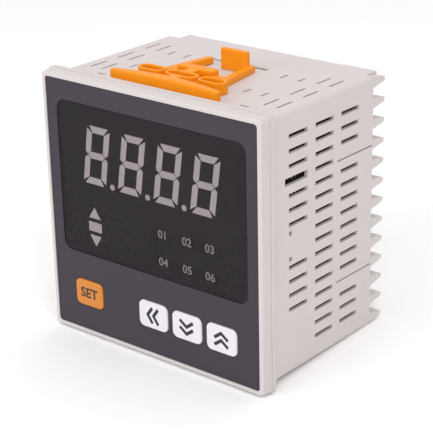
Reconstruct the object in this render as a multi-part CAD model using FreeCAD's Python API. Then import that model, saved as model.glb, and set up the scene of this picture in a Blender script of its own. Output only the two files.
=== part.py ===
"""Panel-mount temperature controller, DIN 96 x 96 mm, as an assembly of separate pieces.

Frame: millimetres, +Z up, +X to the right as seen from the front, +Y towards the rear.
The origin is the centre of the case flange's rear face, which rests against the panel.
"""
import FreeCAD
import Part
import math
import os

V = FreeCAD.Vector
X_DIR = V(1, 0, 0)
Y_DIR = V(0, 1, 0)
Z_DIR = V(0, 0, 1)

# ---------------------------------------------------------------- driving dimensions
CASE_SIZE = 91.5           # square body, passes through a 92 mm cut-out
CASE_DEPTH = 57.2          # panel face to the case's rear edge
CASE_WALL = 2.0
CASE_CORNER_R = 1.6
FLANGE_OVERHANG = 2.25     # how far the case's flange stands out all round
FLANGE_DEPTH = 2.0
FIT_GAP = 0.2              # clearance between moulded pieces that plug together

BEZEL_STEP = 0.2           # how much the front frame lies inside the flange's edge
BEZEL_DEPTH = 6.0          # front rim to panel face
BEZEL_TAPER = 0.5          # how much each side draws in towards the front
BEZEL_CORNER_R = 2.2
RIM_WIDTH = 1.5            # raised rim round the front sheet
BEZEL_FRONT_WALL = 2.0     # wall behind the front sheet
SKIRT_WALL = 1.6
SKIRT_DEPTH = 8.0          # how far the bezel's skirt reaches behind the panel face
SNAP_HEIGHT = 1.2          # how far a snap nose stands out of the skirt

SIDE_SLOT_ROWS = 16
SIDE_SLOT_PITCH = 5.0
SIDE_SLOT_HEIGHT = 1.5
SIDE_SLOT_LENGTH = 9.9
SIDE_SLOT_FIRST_Y = 10.2
SIDE_SLOT_COLUMN_PITCH = 14.3
FRONT_COLUMN_BLANKS = (3, 7, 8, 13, 14, 15)   # rows of the front column with no plain slot
REAR_COLUMN_SLITS = (3, 12)                   # rows of the rear column that are tongue slits
CATCH_WINDOW_HEIGHT = 2.6
CATCH_WINDOW_EXTRA = 2.1   # how much further forward the catch window starts
TEST_HOLE_SIZE = 1.5
TONGUE_SLIT_HEIGHT = 0.5

TOP_SLOT_WIDTH = 0.9
TOP_LONG_SLOT_X = (35.2, 40.4)
TOP_LONG_SLOT_Y = (11.0, 25.0, 39.3)
TOP_LONG_SLOT_LENGTH = 8.1
TOP_SHORT_SLOT_X = (21.3, 28.55)
TOP_SHORT_SLOT_Y = (18.1, 38.0)
TOP_SHORT_SLOT_LENGTH = 4.3
SNAP_WINDOW_X = 31.0
SNAP_WINDOW_Y = 6.1
SNAP_WINDOW_WIDTH = 3.4
SNAP_WINDOW_LENGTH = 1.2
BRACKET_SLOT_WIDTH = 24.4
BRACKET_SLOT_Y = 42.0
BRACKET_SLOT_LENGTH = 1.5

SHEET_THICKNESS = 0.5
SHEET_RECESS = 0.35        # the sheet lies this far behind the rim
SHEET_CORNER_R = 1.2
WINDOW_WIDTH = 82.4
WINDOW_BOTTOM = -16.5
WINDOW_TOP = 38.6
WINDOW_CORNER_R = 3.8

DIGIT_COUNT = 4
DIGIT_PITCH = 15.9
DIGIT_WIDTH = 10.4
DIGIT_HEIGHT = 21.05
DIGIT_BOTTOM = 10.35
DIGIT_SLANT = 3.1          # how far a digit's top leans to the right
SEGMENT_WIDTH = 2.45
DIGIT_CORNER = 0.75        # the digits' outer corners are cut by this much
SEGMENT_GAP = 0.35
POINT_RADIUS = 1.05
POINT_RISE = 0.75          # centre of a decimal point above the digits' lower edge
POINT_SHIFT = 0.3          # how far it stands right of the middle between two digits
LENS_DEPTH = 0.8
DEVIATION_X = -26.2
DEVIATION_WIDTH = 6.0
DEVIATION_ARROW_WIDTH = 5.4
DEVIATION_CENTRE_Z = -5.5
DEVIATION_BAR_HEIGHT = 3.5
DEVIATION_ARROW_HEIGHT = 4.1
DEVIATION_GAP = 1.4
LEGEND_COLUMNS = ((4.8, 7.4), (15.3, 7.4), (25.1, 7.6))   # centre and width of each legend
LEGEND_ROWS = (-0.9, -10.8)
LEGEND_HEIGHT = 3.8
REFLECTOR_MARGIN = 0.6     # the reflector block is this much smaller than the window

KEY_WIDTH = 12.8
KEY_HEIGHT = 9.8
KEY_CORNER_R = 2.2
KEY_CENTRE_Z = -31.5
KEY_SPACING = 2.2          # between two neighbouring keys
KEY_FIRST_X = -30.0        # centre of the mode key; the other three stand at the right
KEY_GROUP_X = 15.0         # centre of the middle one of those three
KEY_PROUD = 0.5            # the keys stand this far in front of the sheet
KEY_CLEARANCE = 0.25
KEY_SKIN = 1.4             # wall of the hollow cap
KEY_COLLAR = 0.9           # the retaining collar stands out this much round the cap
KEY_COLLAR_DEPTH = 0.7
KEY_TRAVEL = 0.5
SWITCH_SIZE = 6.0
SWITCH_BODY_DEPTH = 3.5
SWITCH_PLUNGER_DEPTH = 1.5
SWITCH_PLUNGER_HALF = 1.5

BOARD_THICKNESS = 1.6
BOARD_POST_HALF = 1.6      # half the width of a post that carries the display board
BOARD_POST_GAP = 0.4       # between the lower posts and the keys' collars
BOARD_SCREW_HEAD_R = 1.9
BOARD_SCREW_MARGIN = 0.3   # between a screw's head and the skirt
SIDE_BOARD_GUIDE = 0.8     # thickness of each guide rib beside a board
GUIDE_RIB_HEIGHT = 1.3
SIDE_BOARD_FRONT_Y = 10.0
TRANSFORMER_Y = 26.0
TRANSFORMER_Z = -12.0
TRANSFORMER_LEG_HALF = 2.9
CHIP_LEADS = 3             # leads along each side of the chip

REAR_PLATE_THICKNESS = 2.0
BARRIER_COUNT = 13
BARRIER_PITCH = 7.25
BARRIER_HEIGHT = 7.3       # how far the barriers rise behind the case's rear edge
BARRIER_ROOT = 3.9         # thickness of a barrier's outer end at its root
BARRIER_TIP = 1.8
BARRIER_WEB = 1.3          # thickness of a barrier between two terminals
BARRIER_END_LENGTH = 3.6   # how long the thick outer end is
BARRIER_INSET = 0.3        # the barriers end this far inside the case's side
TERMINAL_COLUMN_WIDTH = 15.5
TERMINAL_SCREW_INSET = 8.6
HUMP_LEFT_X = -40.0        # left end of the rear cover's raised part
HUMP_DEPTH = 6.7           # how far it rises behind the case's rear edge
HUMP_WALL = 2.0
TERMINAL_BLOCK_DEPTH = 6.8
BLOCK_SIDE_WALL = 0.8      # plastic beyond the first and the last screw well
SCREW_WELL_GAP = 0.2
TERMINAL_SIDE_GAP = 0.375  # between a barrier and the terminal plate beside it
TERMINAL_PLATE_LENGTH = 8.8
TERMINAL_PLATE_THICKNESS = 0.8
TERMINAL_LEG_INSET = 12.7  # barrier's outer end to the leg's inner face
TERMINAL_LEG_REACH = 3.4   # how far the leg passes the block to lie along the power board
WASHER_THICKNESS = 0.7
SCREW_RADIUS = 1.5
SCREW_HEAD_MARGIN = 0.1    # the washer stands out this much round the head
SCREW_HEAD_HEIGHT = 1.8
SCREW_LENGTH = 6.0

BRACKET_BAR_HALF = 23.3
BRACKET_BAR_FRONT_Y = 2.5  # leaves room for the panel between the bar and the flange
BRACKET_BAR_MID_DEPTH = 4.0
BRACKET_BAR_END_DEPTH = 2.0
BRACKET_BAR_MID_HEIGHT = 4.7
BRACKET_BAR_END_HEIGHT = 4.1
SPRING_CENTRE_Y = 12.6
SPRING_DEPTH = 5.6
SPRING_WALL = 1.1
SPRING_HEIGHT = 4.1
SPRING_MID_HALF = 6.7
SPRING_GAP = 0.9
SPRING_END_HALF = 18.6
SPRING_NECK = 4.4
CROSSBAR_HALF = 7.9
CROSSBAR_FRONT_Y = 18.8
CROSSBAR_DEPTH = 3.8
CROSSBAR_HEIGHT = 4.4
ARM_WIDTH = 2.8
ARM_HEIGHT = 2.35
ARM_FRONT_X = 13.0
ARM_REAR_X = 9.1
ARM_REAR_Y = 38.4
TAB_LEFT_X = -2.0
TAB_RIGHT_X = 9.4
TAB_FRONT_Y = 34.9
TAB_THICKNESS = 2.2
TAB_HEIGHT = 7.4
HOOK_WIDTH = 1.8
HOOK_LENGTH = 1.4
HOOK_FOOT = 1.2            # how far a hook's foot reaches forward under the wall
HOOK_CLEARANCE = 0.3

# ---------------------------------------------------------------- derived places
CASE_HALF = CASE_SIZE / 2
FLANGE_HALF = CASE_HALF + FLANGE_OVERHANG
BEZEL_HALF = FLANGE_HALF - BEZEL_STEP
BEZEL_FRONT_HALF = BEZEL_HALF - BEZEL_TAPER
BARRIER_END_X = CASE_HALF - BARRIER_INSET
BARRIER_TIP_Y = CASE_DEPTH + BARRIER_HEIGHT
INNER_HALF = CASE_HALF - CASE_WALL
SHEET_FRONT_Y = -BEZEL_DEPTH + SHEET_RECESS
SHEET_REAR_Y = SHEET_FRONT_Y + SHEET_THICKNESS
SHEET_HALF = BEZEL_FRONT_HALF - RIM_WIDTH
FRONT_WALL_REAR_Y = SHEET_REAR_Y + BEZEL_FRONT_WALL
LENS_FRONT_Y = SHEET_REAR_Y + 0.05
LENS_REAR_Y = LENS_FRONT_Y + LENS_DEPTH
KEY_PITCH = KEY_WIDTH + KEY_SPACING
KEY_X = {"mode_key": KEY_FIRST_X, "shift_key": KEY_GROUP_X - KEY_PITCH,
         "down_key": KEY_GROUP_X, "up_key": KEY_GROUP_X + KEY_PITCH}
KEY_FRONT_Y = SHEET_FRONT_Y - KEY_PROUD
KEY_COLLAR_FRONT_Y = FRONT_WALL_REAR_Y + 0.1
KEY_REAR_Y = KEY_COLLAR_FRONT_Y + KEY_COLLAR_DEPTH
PLUNGER_TIP_Y = KEY_REAR_Y + KEY_TRAVEL + 0.05
BOARD_FRONT_Y = PLUNGER_TIP_Y + SWITCH_PLUNGER_DEPTH + SWITCH_BODY_DEPTH
BOARD_REAR_Y = BOARD_FRONT_Y + BOARD_THICKNESS
SKIRT_HALF = INNER_HALF - FIT_GAP
SKIRT_INNER_HALF = SKIRT_HALF - SKIRT_WALL
BOARD_HALF = SKIRT_INNER_HALF - FIT_GAP
BOARD_POST_X = SKIRT_INNER_HALF - BOARD_SCREW_HEAD_R - BOARD_SCREW_MARGIN
KEY_TOP_Z = KEY_CENTRE_Z + KEY_HEIGHT / 2
BOARD_POST_Z = ((WINDOW_BOTTOM + KEY_TOP_Z) / 2,
                2 * KEY_CENTRE_Z - KEY_TOP_Z - KEY_COLLAR - BOARD_POST_GAP - BOARD_POST_HALF)
PLATE_FRONT_Y = CASE_DEPTH - REAR_PLATE_THICKNESS
BLOCK_FRONT_Y = CASE_DEPTH - TERMINAL_BLOCK_DEPTH
FIRST_BARRIER_Z = BARRIER_PITCH * (BARRIER_COUNT - 1) / 2
SIDE_BOARD_REAR_Y = BLOCK_FRONT_Y - 0.4
SIDE_BOARD_HALF = INNER_HALF - 0.3
# the power board stands on the inner side of the terminal legs, the main board opposite
TERMINAL_PLATE_WIDTH = BARRIER_PITCH - BARRIER_WEB - 2 * TERMINAL_SIDE_GAP
TERMINAL_LEG_WIDTH = TERMINAL_PLATE_WIDTH / 2
SCREW_HEAD_RADIUS = TERMINAL_PLATE_WIDTH / 2 - SCREW_HEAD_MARGIN
LEG_X = BARRIER_END_X - TERMINAL_LEG_INSET
RIGHT_BOARD_X = LEG_X - BOARD_THICKNESS
LEFT_BOARD_X = -LEG_X
SCREW_X = BARRIER_END_X - TERMINAL_SCREW_INSET
BLOCK_INNER_X = BARRIER_END_X - TERMINAL_COLUMN_WIDTH
HOOK_REAR_Y = ARM_REAR_Y - 0.4


# ---------------------------------------------------------------- shared shape helpers
def block(x0, x1, y0, y1, z0, z1):
    """Box between two x, two y and two z planes, given in any order."""
    low = V(min(x0, x1), min(y0, y1), min(z0, z1))
    return Part.makeBox(abs(x1 - x0), abs(y1 - y0), abs(z1 - z0), low)


def rod(radius, y0, y1, x, z):
    """Cylinder along Y."""
    return Part.makeCylinder(radius, y1 - y0, V(x, y0, z), Y_DIR)


def edges_along(shape, axis):
    """Straight edges of a shape that run along an axis."""
    found = []
    for edge in shape.Edges:
        if isinstance(edge.Curve, (Part.Line, Part.LineSegment)):
            if abs(abs(edge.tangentAt(edge.FirstParameter).dot(axis)) - 1) < 1e-6:
                found.append(edge)
    return found


def rounded_block(x0, x1, y0, y1, z0, z1, radius, axis=Y_DIR):
    """Box whose four edges along one axis are rounded."""
    box = block(x0, x1, y0, y1, z0, z1)
    return box.makeFillet(radius, edges_along(box, axis))


def square_tube(half_outer, half_inner, y0, y1, radius):
    """Square ring about the Y axis."""
    outer = rounded_block(-half_outer, half_outer, y0, y1, -half_outer, half_outer, radius)
    inner = block(-half_inner, half_inner, y0 - 1, y1 + 1, -half_inner, half_inner)
    return outer.cut(inner)


def prism_y(points, y0, y1):
    """Polygon given as (x, z) points, pushed along Y from y0 to y1."""
    corners = [V(x, y0, z) for x, z in points]
    face = Part.Face(Part.makePolygon(corners + [corners[0]]))
    return face.extrude(V(0, y1 - y0, 0))


def prism_z(points, z0, z1):
    """Polygon given as (x, y) points, pushed up from z0 to z1."""
    corners = [V(x, y, z0) for x, y in points]
    face = Part.Face(Part.makePolygon(corners + [corners[0]]))
    return face.extrude(V(0, 0, z1 - z0))


def outer_rounded_square(half, y, radius):
    """Closed wire of a rounded square in the plane of one y."""
    plate = rounded_block(-half, half, y, y + 1, -half, half, radius)
    for face in plate.Faces:
        if abs(face.CenterOfMass.y - y) < 1e-6:
            return face.OuterWire
    raise ValueError("no face lies in the plane")


# ---------------------------------------------------------------- case
def side_slot_z(row):
    return SIDE_SLOT_PITCH * ((SIDE_SLOT_ROWS - 1) / 2 - row)


def side_slot(column, row, height=SIDE_SLOT_HEIGHT, extra=0.0):
    """One vent in the right-hand wall, as the solid to cut away."""
    y0 = SIDE_SLOT_FIRST_Y + SIDE_SLOT_COLUMN_PITCH * column
    z = side_slot_z(row)
    return block(INNER_HALF - 1, CASE_HALF + 1, y0 - extra, y0 + SIDE_SLOT_LENGTH,
                 z - height / 2, z + height / 2)


def right_wall_openings():
    """Every opening of the right-hand wall."""
    cuts = []
    for row in range(SIDE_SLOT_ROWS):
        if row not in FRONT_COLUMN_BLANKS:
            cuts.append(side_slot(0, row))
        cuts.append(side_slot(1, row))
        if row not in REAR_COLUMN_SLITS:
            cuts.append(side_slot(2, row))
    cuts.append(side_slot(0, FRONT_COLUMN_BLANKS[0], CATCH_WINDOW_HEIGHT, CATCH_WINDOW_EXTRA))
    for z in (side_slot_z(6.6), side_slot_z(8.4)):
        y0 = SIDE_SLOT_FIRST_Y
        cuts.append(block(INNER_HALF - 1, CASE_HALF + 1, y0, y0 + TEST_HOLE_SIZE,
                          z - TEST_HOLE_SIZE / 2, z + TEST_HOLE_SIZE / 2))
    slit_y = SIDE_SLOT_FIRST_Y + 2 * SIDE_SLOT_COLUMN_PITCH - 2.0
    for row, shift in zip(REAR_COLUMN_SLITS, (-0.9, 0.4)):
        z = side_slot_z(row) + shift
        cuts.append(block(INNER_HALF - 1, CASE_HALF + 1, slit_y, CASE_DEPTH + 1,
                          z - TONGUE_SLIT_HEIGHT / 2, z + TONGUE_SLIT_HEIGHT / 2))
    return cuts


def top_wall_openings():
    """Every opening of the top wall: vents, snap windows, hook windows and latch slot."""
    cuts = []
    z0 = INNER_HALF - 1
    z1 = CASE_HALF + 1
    long_slots = (TOP_LONG_SLOT_X, TOP_LONG_SLOT_Y, TOP_LONG_SLOT_LENGTH)
    short_slots = (TOP_SHORT_SLOT_X, TOP_SHORT_SLOT_Y, TOP_SHORT_SLOT_LENGTH)
    for side in (-1, 1):
        for places_x, places_y, length in (long_slots, short_slots):
            for x in places_x:
                for y in places_y:
                    mid = side * x
                    cuts.append(block(mid - TOP_SLOT_WIDTH / 2, mid + TOP_SLOT_WIDTH / 2,
                                      y, y + length, z0, z1))
        mid = side * SNAP_WINDOW_X
        cuts.append(block(mid - SNAP_WINDOW_WIDTH / 2, mid + SNAP_WINDOW_WIDTH / 2,
                          SNAP_WINDOW_Y, SNAP_WINDOW_Y + SNAP_WINDOW_LENGTH, z0, z1))
        half = HOOK_WIDTH / 2 + HOOK_CLEARANCE
        front = HOOK_REAR_Y - HOOK_LENGTH - HOOK_FOOT - HOOK_CLEARANCE
        cuts.append(block(side * ARM_REAR_X - half, side * ARM_REAR_X + half,
                          front, HOOK_REAR_Y + HOOK_CLEARANCE, z0, z1))
    cuts.append(block(-BRACKET_SLOT_WIDTH / 2, BRACKET_SLOT_WIDTH / 2,
                      BRACKET_SLOT_Y, BRACKET_SLOT_Y + BRACKET_SLOT_LENGTH, z0, z1))
    return cuts


def mirrored(shapes, axis):
    return [shape.mirror(V(0, 0, 0), axis) for shape in shapes]


def board_guides():
    """Pairs of ribs inside the top and bottom walls that hold the edges of the side boards."""
    ribs = []
    y0 = SIDE_BOARD_FRONT_Y + 2
    y1 = BLOCK_FRONT_Y - 1
    for board_x in (RIGHT_BOARD_X, LEFT_BOARD_X):
        inner = board_x - 0.1
        outer = board_x + BOARD_THICKNESS + 0.1
        for x0, x1 in ((inner - SIDE_BOARD_GUIDE, inner), (outer, outer + SIDE_BOARD_GUIDE)):
            for side in (-1, 1):
                ribs.append(block(x0, x1, y0, y1, side * (INNER_HALF + 0.2),
                                  side * (INNER_HALF - GUIDE_RIB_HEIGHT)))
    return ribs


def make_case():
    """Square shell, open at both ends, with the flange that bears on the panel."""
    shell = square_tube(CASE_HALF, INNER_HALF, -FLANGE_DEPTH, CASE_DEPTH, CASE_CORNER_R)
    flange = square_tube(FLANGE_HALF, INNER_HALF, -FLANGE_DEPTH, 0, BEZEL_CORNER_R)
    case = shell.fuse([flange] + board_guides())
    right = right_wall_openings()
    top = top_wall_openings()
    cuts = right + mirrored(right, X_DIR) + top + mirrored(top, Z_DIR)
    return case.cut(cuts).removeSplitter()


# ---------------------------------------------------------------- front
def key_opening(x, y0, y1, margin):
    """Rounded opening round a key, larger than the cap by the margin on each side."""
    half_w = KEY_WIDTH / 2 + margin
    half_h = KEY_HEIGHT / 2 + margin
    return rounded_block(x - half_w, x + half_w, y0, y1,
                         KEY_CENTRE_Z - half_h, KEY_CENTRE_Z + half_h, KEY_CORNER_R + margin)


def key_box(x, y0, y1, margin):
    """Square-cornered box round a key, larger than the cap by the margin on each side."""
    half_w = KEY_WIDTH / 2 + margin
    half_h = KEY_HEIGHT / 2 + margin
    return block(x - half_w, x + half_w, y0, y1, KEY_CENTRE_Z - half_h, KEY_CENTRE_Z + half_h)


def window_block(y0, y1, inset):
    """Rounded block of the display window's outline, smaller by the inset on each side."""
    half = WINDOW_WIDTH / 2 - inset
    return rounded_block(-half, half, y0, y1, WINDOW_BOTTOM + inset, WINDOW_TOP - inset,
                         WINDOW_CORNER_R - min(inset, WINDOW_CORNER_R / 2))


def snap_noses():
    """Wedges on the skirt that click into the case's snap windows."""
    noses = []
    y0 = SNAP_WINDOW_Y + 0.1
    y1 = SNAP_WINDOW_Y + SNAP_WINDOW_LENGTH - 0.1
    half = SNAP_WINDOW_WIDTH / 2 - 0.2
    for side in (-1, 1):
        root = SKIRT_HALF - 0.3
        tip = SKIRT_HALF + FIT_GAP + SNAP_HEIGHT
        profile = [V(0, y0, root), V(0, y0, tip), V(0, y0 + 0.2, tip), V(0, y1, root + 0.4),
                   V(0, y1, root)]
        face = Part.Face(Part.makePolygon(profile + [profile[0]]))
        wedge = face.extrude(V(2 * half, 0, 0))
        wedge.translate(V(side * SNAP_WINDOW_X - half, 0, 0))
        noses.append(wedge)
    return noses + mirrored(noses, Z_DIR)


def make_front_bezel():
    """Tapered front frame with a sheet recess, key and window openings and a rear skirt."""
    front = outer_rounded_square(BEZEL_FRONT_HALF, -BEZEL_DEPTH, BEZEL_CORNER_R - 0.2)
    rear = outer_rounded_square(BEZEL_HALF, -FLANGE_DEPTH, BEZEL_CORNER_R)
    frame = Part.makeLoft([front, rear], True, True)
    rim = [e for e in frame.Edges if abs(e.BoundBox.YMax + BEZEL_DEPTH) < 1e-6]
    frame = frame.makeFillet(0.7, rim)
    recess = rounded_block(-SHEET_HALF, SHEET_HALF, -BEZEL_DEPTH - 1, SHEET_REAR_Y,
                           -SHEET_HALF, SHEET_HALF, SHEET_CORNER_R)
    hollow = block(-SKIRT_INNER_HALF, SKIRT_INNER_HALF, FRONT_WALL_REAR_Y, 0,
                   -SKIRT_INNER_HALF, SKIRT_INNER_HALF)
    skirt = block(-SKIRT_HALF, SKIRT_HALF, -FLANGE_DEPTH - 0.5, SKIRT_DEPTH,
                  -SKIRT_HALF, SKIRT_HALF)
    skirt = skirt.cut(block(-SKIRT_INNER_HALF, SKIRT_INNER_HALF, -FLANGE_DEPTH - 1,
                            SKIRT_DEPTH + 1, -SKIRT_INNER_HALF, SKIRT_INNER_HALF))
    cuts = [recess, hollow, window_block(SHEET_REAR_Y - 1, FRONT_WALL_REAR_Y + 1, 0.3)]
    for x in KEY_X.values():
        cuts.append(key_box(x, SHEET_REAR_Y - 1, FRONT_WALL_REAR_Y + 1, KEY_CLEARANCE))
    bezel = frame.cut(cuts).fuse([skirt] + snap_noses())
    posts = []
    bores = []
    for x in (-BOARD_POST_X, BOARD_POST_X):
        for z in BOARD_POST_Z:
            posts.append(block(x - BOARD_POST_HALF, x + BOARD_POST_HALF, FRONT_WALL_REAR_Y - 0.5,
                               BOARD_FRONT_Y, z - BOARD_POST_HALF, z + BOARD_POST_HALF))
            bores.append(rod(0.85, FRONT_WALL_REAR_Y + 0.5, BOARD_FRONT_Y + 1, x, z))
    return bezel.fuse(posts).cut(bores).removeSplitter()


def make_front_sheet():
    """Thin dark sheet with openings for the window and the keys."""
    half = SHEET_HALF - 0.05
    sheet = rounded_block(-half, half, SHEET_FRONT_Y, SHEET_REAR_Y, -half, half,
                          SHEET_CORNER_R)
    cuts = [window_block(SHEET_FRONT_Y - 1, SHEET_REAR_Y + 1, 0)]
    for x in KEY_X.values():
        cuts.append(key_opening(x, SHEET_FRONT_Y - 1, SHEET_REAR_Y + 1, KEY_CLEARANCE))
    return sheet.cut(cuts)


def make_key(name):
    """Key cap with a retaining collar behind the bezel wall, hollow round a centre boss."""
    x = KEY_X[name]
    half_w = KEY_WIDTH / 2
    half_h = KEY_HEIGHT / 2
    cap = rounded_block(x - half_w, x + half_w, KEY_FRONT_Y, KEY_REAR_Y,
                        KEY_CENTRE_Z - half_h, KEY_CENTRE_Z + half_h, KEY_CORNER_R)
    front = [e for e in cap.Edges if abs(e.BoundBox.YMax - KEY_FRONT_Y) < 1e-6]
    cap = cap.makeChamfer(0.3, front)
    collar = key_box(x, KEY_COLLAR_FRONT_Y, KEY_REAR_Y, KEY_COLLAR)
    hollow = key_box(x, KEY_FRONT_Y + KEY_SKIN, KEY_REAR_Y + 1, -KEY_SKIN)
    boss_half = SWITCH_PLUNGER_HALF
    boss = block(x - boss_half, x + boss_half, KEY_FRONT_Y + 1.0, KEY_REAR_Y,
                 KEY_CENTRE_Z - boss_half, KEY_CENTRE_Z + boss_half)
    return cap.fuse(collar).cut(hollow).fuse(boss).removeSplitter()


# ---------------------------------------------------------------- display
def segment_outlines():
    """Outlines of one digit's seven segments in its own upright frame, as (u, v) lists."""
    w = DIGIT_WIDTH
    h = DIGIT_HEIGHT
    t = SEGMENT_WIDTH
    g = SEGMENT_GAP / 2
    mid = h / 2
    c = DIGIT_CORNER
    top = [(c + g, h), (w - c - g, h), (w - t - g, h - t), (t + g, h - t)]
    bottom = [(u, h - v) for u, v in reversed(top)]
    centre = [(g + t / 2, mid), (t + g, mid + t / 2), (w - t - g, mid + t / 2),
              (w - t / 2 - g, mid), (w - t - g, mid - t / 2), (t + g, mid - t / 2)]
    upper_left = [(0, h - c - g), (t, h - t - g), (t, mid + t / 2 + g), (t / 2, mid + g),
                  (0, mid + t / 2)]
    lower_left = [(u, h - v) for u, v in reversed(upper_left)]
    upper_right = [(w - u, v) for u, v in reversed(upper_left)]
    lower_right = [(w - u, v) for u, v in reversed(lower_left)]
    return [top, bottom, centre, upper_left, lower_left, upper_right, lower_right]


def leaning(outline, x0):
    """Leans an upright outline as italic digits do and moves it to its place."""
    slope = DIGIT_SLANT / DIGIT_HEIGHT
    return [(x0 + u + slope * v, DIGIT_BOTTOM + v) for u, v in outline]


def digit_left_edges():
    span = DIGIT_PITCH * (DIGIT_COUNT - 1) + DIGIT_WIDTH + DIGIT_SLANT
    return [-span / 2 + DIGIT_PITCH * i for i in range(DIGIT_COUNT)]


def digit_segment_solids():
    """Diffusers of the four digits and of the decimal points between them."""
    solids = []
    for index, x0 in enumerate(digit_left_edges()):
        for outline in segment_outlines():
            solids.append(prism_y(leaning(outline, x0), LENS_FRONT_Y, LENS_REAR_Y))
        if index < DIGIT_COUNT - 1:
            x = x0 + (DIGIT_PITCH + DIGIT_WIDTH) / 2 + POINT_SHIFT
            solids.append(rod(POINT_RADIUS, LENS_FRONT_Y, LENS_REAR_Y, x,
                              DIGIT_BOTTOM + POINT_RISE))
    return solids


def deviation_solids():
    """Up arrow, bar and down arrow, one above the other."""
    half = DEVIATION_WIDTH / 2
    arrow = DEVIATION_ARROW_WIDTH / 2
    bar = DEVIATION_BAR_HEIGHT / 2
    x = DEVIATION_X
    z = DEVIATION_CENTRE_Z
    base = bar + DEVIATION_GAP
    tip = base + DEVIATION_ARROW_HEIGHT
    up = [(x - arrow, z + base), (x + arrow, z + base), (x, z + tip)]
    middle = [(x - half, z - bar), (x + half, z - bar), (x + half, z + bar), (x - half, z + bar)]
    down = [(x, z - tip), (x + arrow, z - base), (x - arrow, z - base)]
    return [prism_y(outline, LENS_FRONT_Y, LENS_REAR_Y) for outline in (up, middle, down)]


def legend_solids():
    """Six small windows in two rows that light up behind a legend."""
    solids = []
    half_h = LEGEND_HEIGHT / 2
    for z in LEGEND_ROWS:
        for x, width in LEGEND_COLUMNS:
            solids.append(block(x - width / 2, x + width / 2, LENS_FRONT_Y, LENS_REAR_Y,
                                z - half_h, z + half_h))
    return solids


def make_display_reflector():
    """Opaque block behind the window with a pocket for every segment and lens."""
    body = window_block(LENS_FRONT_Y, BOARD_FRONT_Y, REFLECTOR_MARGIN)
    pockets = digit_segment_solids() + deviation_solids() + legend_solids()
    return body.cut(pockets)


def make_display_window():
    """Smoked window that lies flush in the sheet."""
    return window_block(SHEET_FRONT_Y, SHEET_REAR_Y, 0.05)


def make_display_board():
    """Square board behind the display with clearance holes for its screws."""
    board = block(-BOARD_HALF, BOARD_HALF, BOARD_FRONT_Y, BOARD_REAR_Y, -BOARD_HALF, BOARD_HALF)
    holes = [rod(1.2, BOARD_FRONT_Y - 1, BOARD_REAR_Y + 1, x, z)
             for x in (-BOARD_POST_X, BOARD_POST_X) for z in BOARD_POST_Z]
    return board.cut(holes)


def display_board_screws():
    """Four self-tapping screws that hold the display board to the bezel's posts."""
    screws = []
    for x in (-BOARD_POST_X, BOARD_POST_X):
        for z in BOARD_POST_Z:
            shank = rod(0.8, BOARD_FRONT_Y - 3.5, BOARD_REAR_Y + 0.2, x, z)
            head = rod(BOARD_SCREW_HEAD_R, BOARD_REAR_Y, BOARD_REAR_Y + 1.3, x, z)
            screws.append(shank.fuse(head))
    return screws


def key_switches():
    """Tact switches on the display board, one behind each key."""
    switches = []
    half = SWITCH_SIZE / 2
    z = KEY_CENTRE_Z
    body_front = BOARD_FRONT_Y - SWITCH_BODY_DEPTH
    for x in KEY_X.values():
        body = block(x - half, x + half, body_front, BOARD_FRONT_Y, z - half, z + half)
        plunger_half = SWITCH_PLUNGER_HALF
        plunger = block(x - plunger_half, x + plunger_half, PLUNGER_TIP_Y, body_front + 0.5,
                        z - plunger_half, z + plunger_half)
        switches.append(body.fuse(plunger))
    return switches


# ---------------------------------------------------------------- electronics
def board_connectors():
    """Right-angle headers from the display board to the front edge of each side board."""
    headers = []
    for board_x, inward in ((RIGHT_BOARD_X, -1), (LEFT_BOARD_X + BOARD_THICKNESS, 1)):
        x0 = board_x
        x1 = board_x + inward * 5.0
        body = block(x0, x1, BOARD_REAR_Y, SIDE_BOARD_FRONT_Y + 4, -14, 14)
        notch = block(x1 - inward * 1.5, x1 + inward, BOARD_REAR_Y + 2.5,
                      SIDE_BOARD_FRONT_Y + 5, -15, 15)
        headers.append(body.cut(notch))
    return headers


def side_board(board_x):
    return block(board_x, board_x + BOARD_THICKNESS, SIDE_BOARD_FRONT_Y, SIDE_BOARD_REAR_Y,
                 -SIDE_BOARD_HALF, SIDE_BOARD_HALF)


def make_transformer_bobbin():
    """Moulded bobbin with flanges at both ends and its winding, against the power board."""
    x1 = RIGHT_BOARD_X
    mid_x = x1 - 9.0
    barrel = Part.makeCylinder(6.4, 14.0, V(mid_x, TRANSFORMER_Y, TRANSFORMER_Z - 7), Z_DIR)
    flanges = []
    for z in (-8.5, 7.0):
        flanges.append(block(x1 - 16, x1, TRANSFORMER_Y - 8.5, TRANSFORMER_Y + 8.5,
                             TRANSFORMER_Z + z, TRANSFORMER_Z + z + 1.5))
    hole_half = TRANSFORMER_LEG_HALF + 0.2
    hole = block(mid_x - hole_half, mid_x + hole_half, TRANSFORMER_Y - hole_half,
                 TRANSFORMER_Y + hole_half, TRANSFORMER_Z - 20, TRANSFORMER_Z + 20)
    return barrel.fuse(flanges).cut(hole)


def make_transformer_core():
    """Ferrite core: a centre leg through the bobbin and a frame round it."""
    mid_x = RIGHT_BOARD_X - 9.0
    half_y = 10.5
    leg_half = TRANSFORMER_LEG_HALF
    leg = block(mid_x - leg_half, mid_x + leg_half, TRANSFORMER_Y - leg_half,
                TRANSFORMER_Y + leg_half, TRANSFORMER_Z - 8.7, TRANSFORMER_Z + 8.7)
    pieces = [leg]
    for side in (-1, 1):
        z0 = TRANSFORMER_Z + side * 8.6
        pieces.append(block(mid_x - 4.5, mid_x + 4.5, TRANSFORMER_Y - half_y,
                            TRANSFORMER_Y + half_y, z0, z0 + side * 3.0))
        y0 = TRANSFORMER_Y + side * half_y
        pieces.append(block(mid_x - 4.5, mid_x + 4.5, y0, y0 - side * 1.9,
                            TRANSFORMER_Z - 8.7, TRANSFORMER_Z + 8.7))
    return pieces[0].fuse(pieces[1:])


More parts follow.
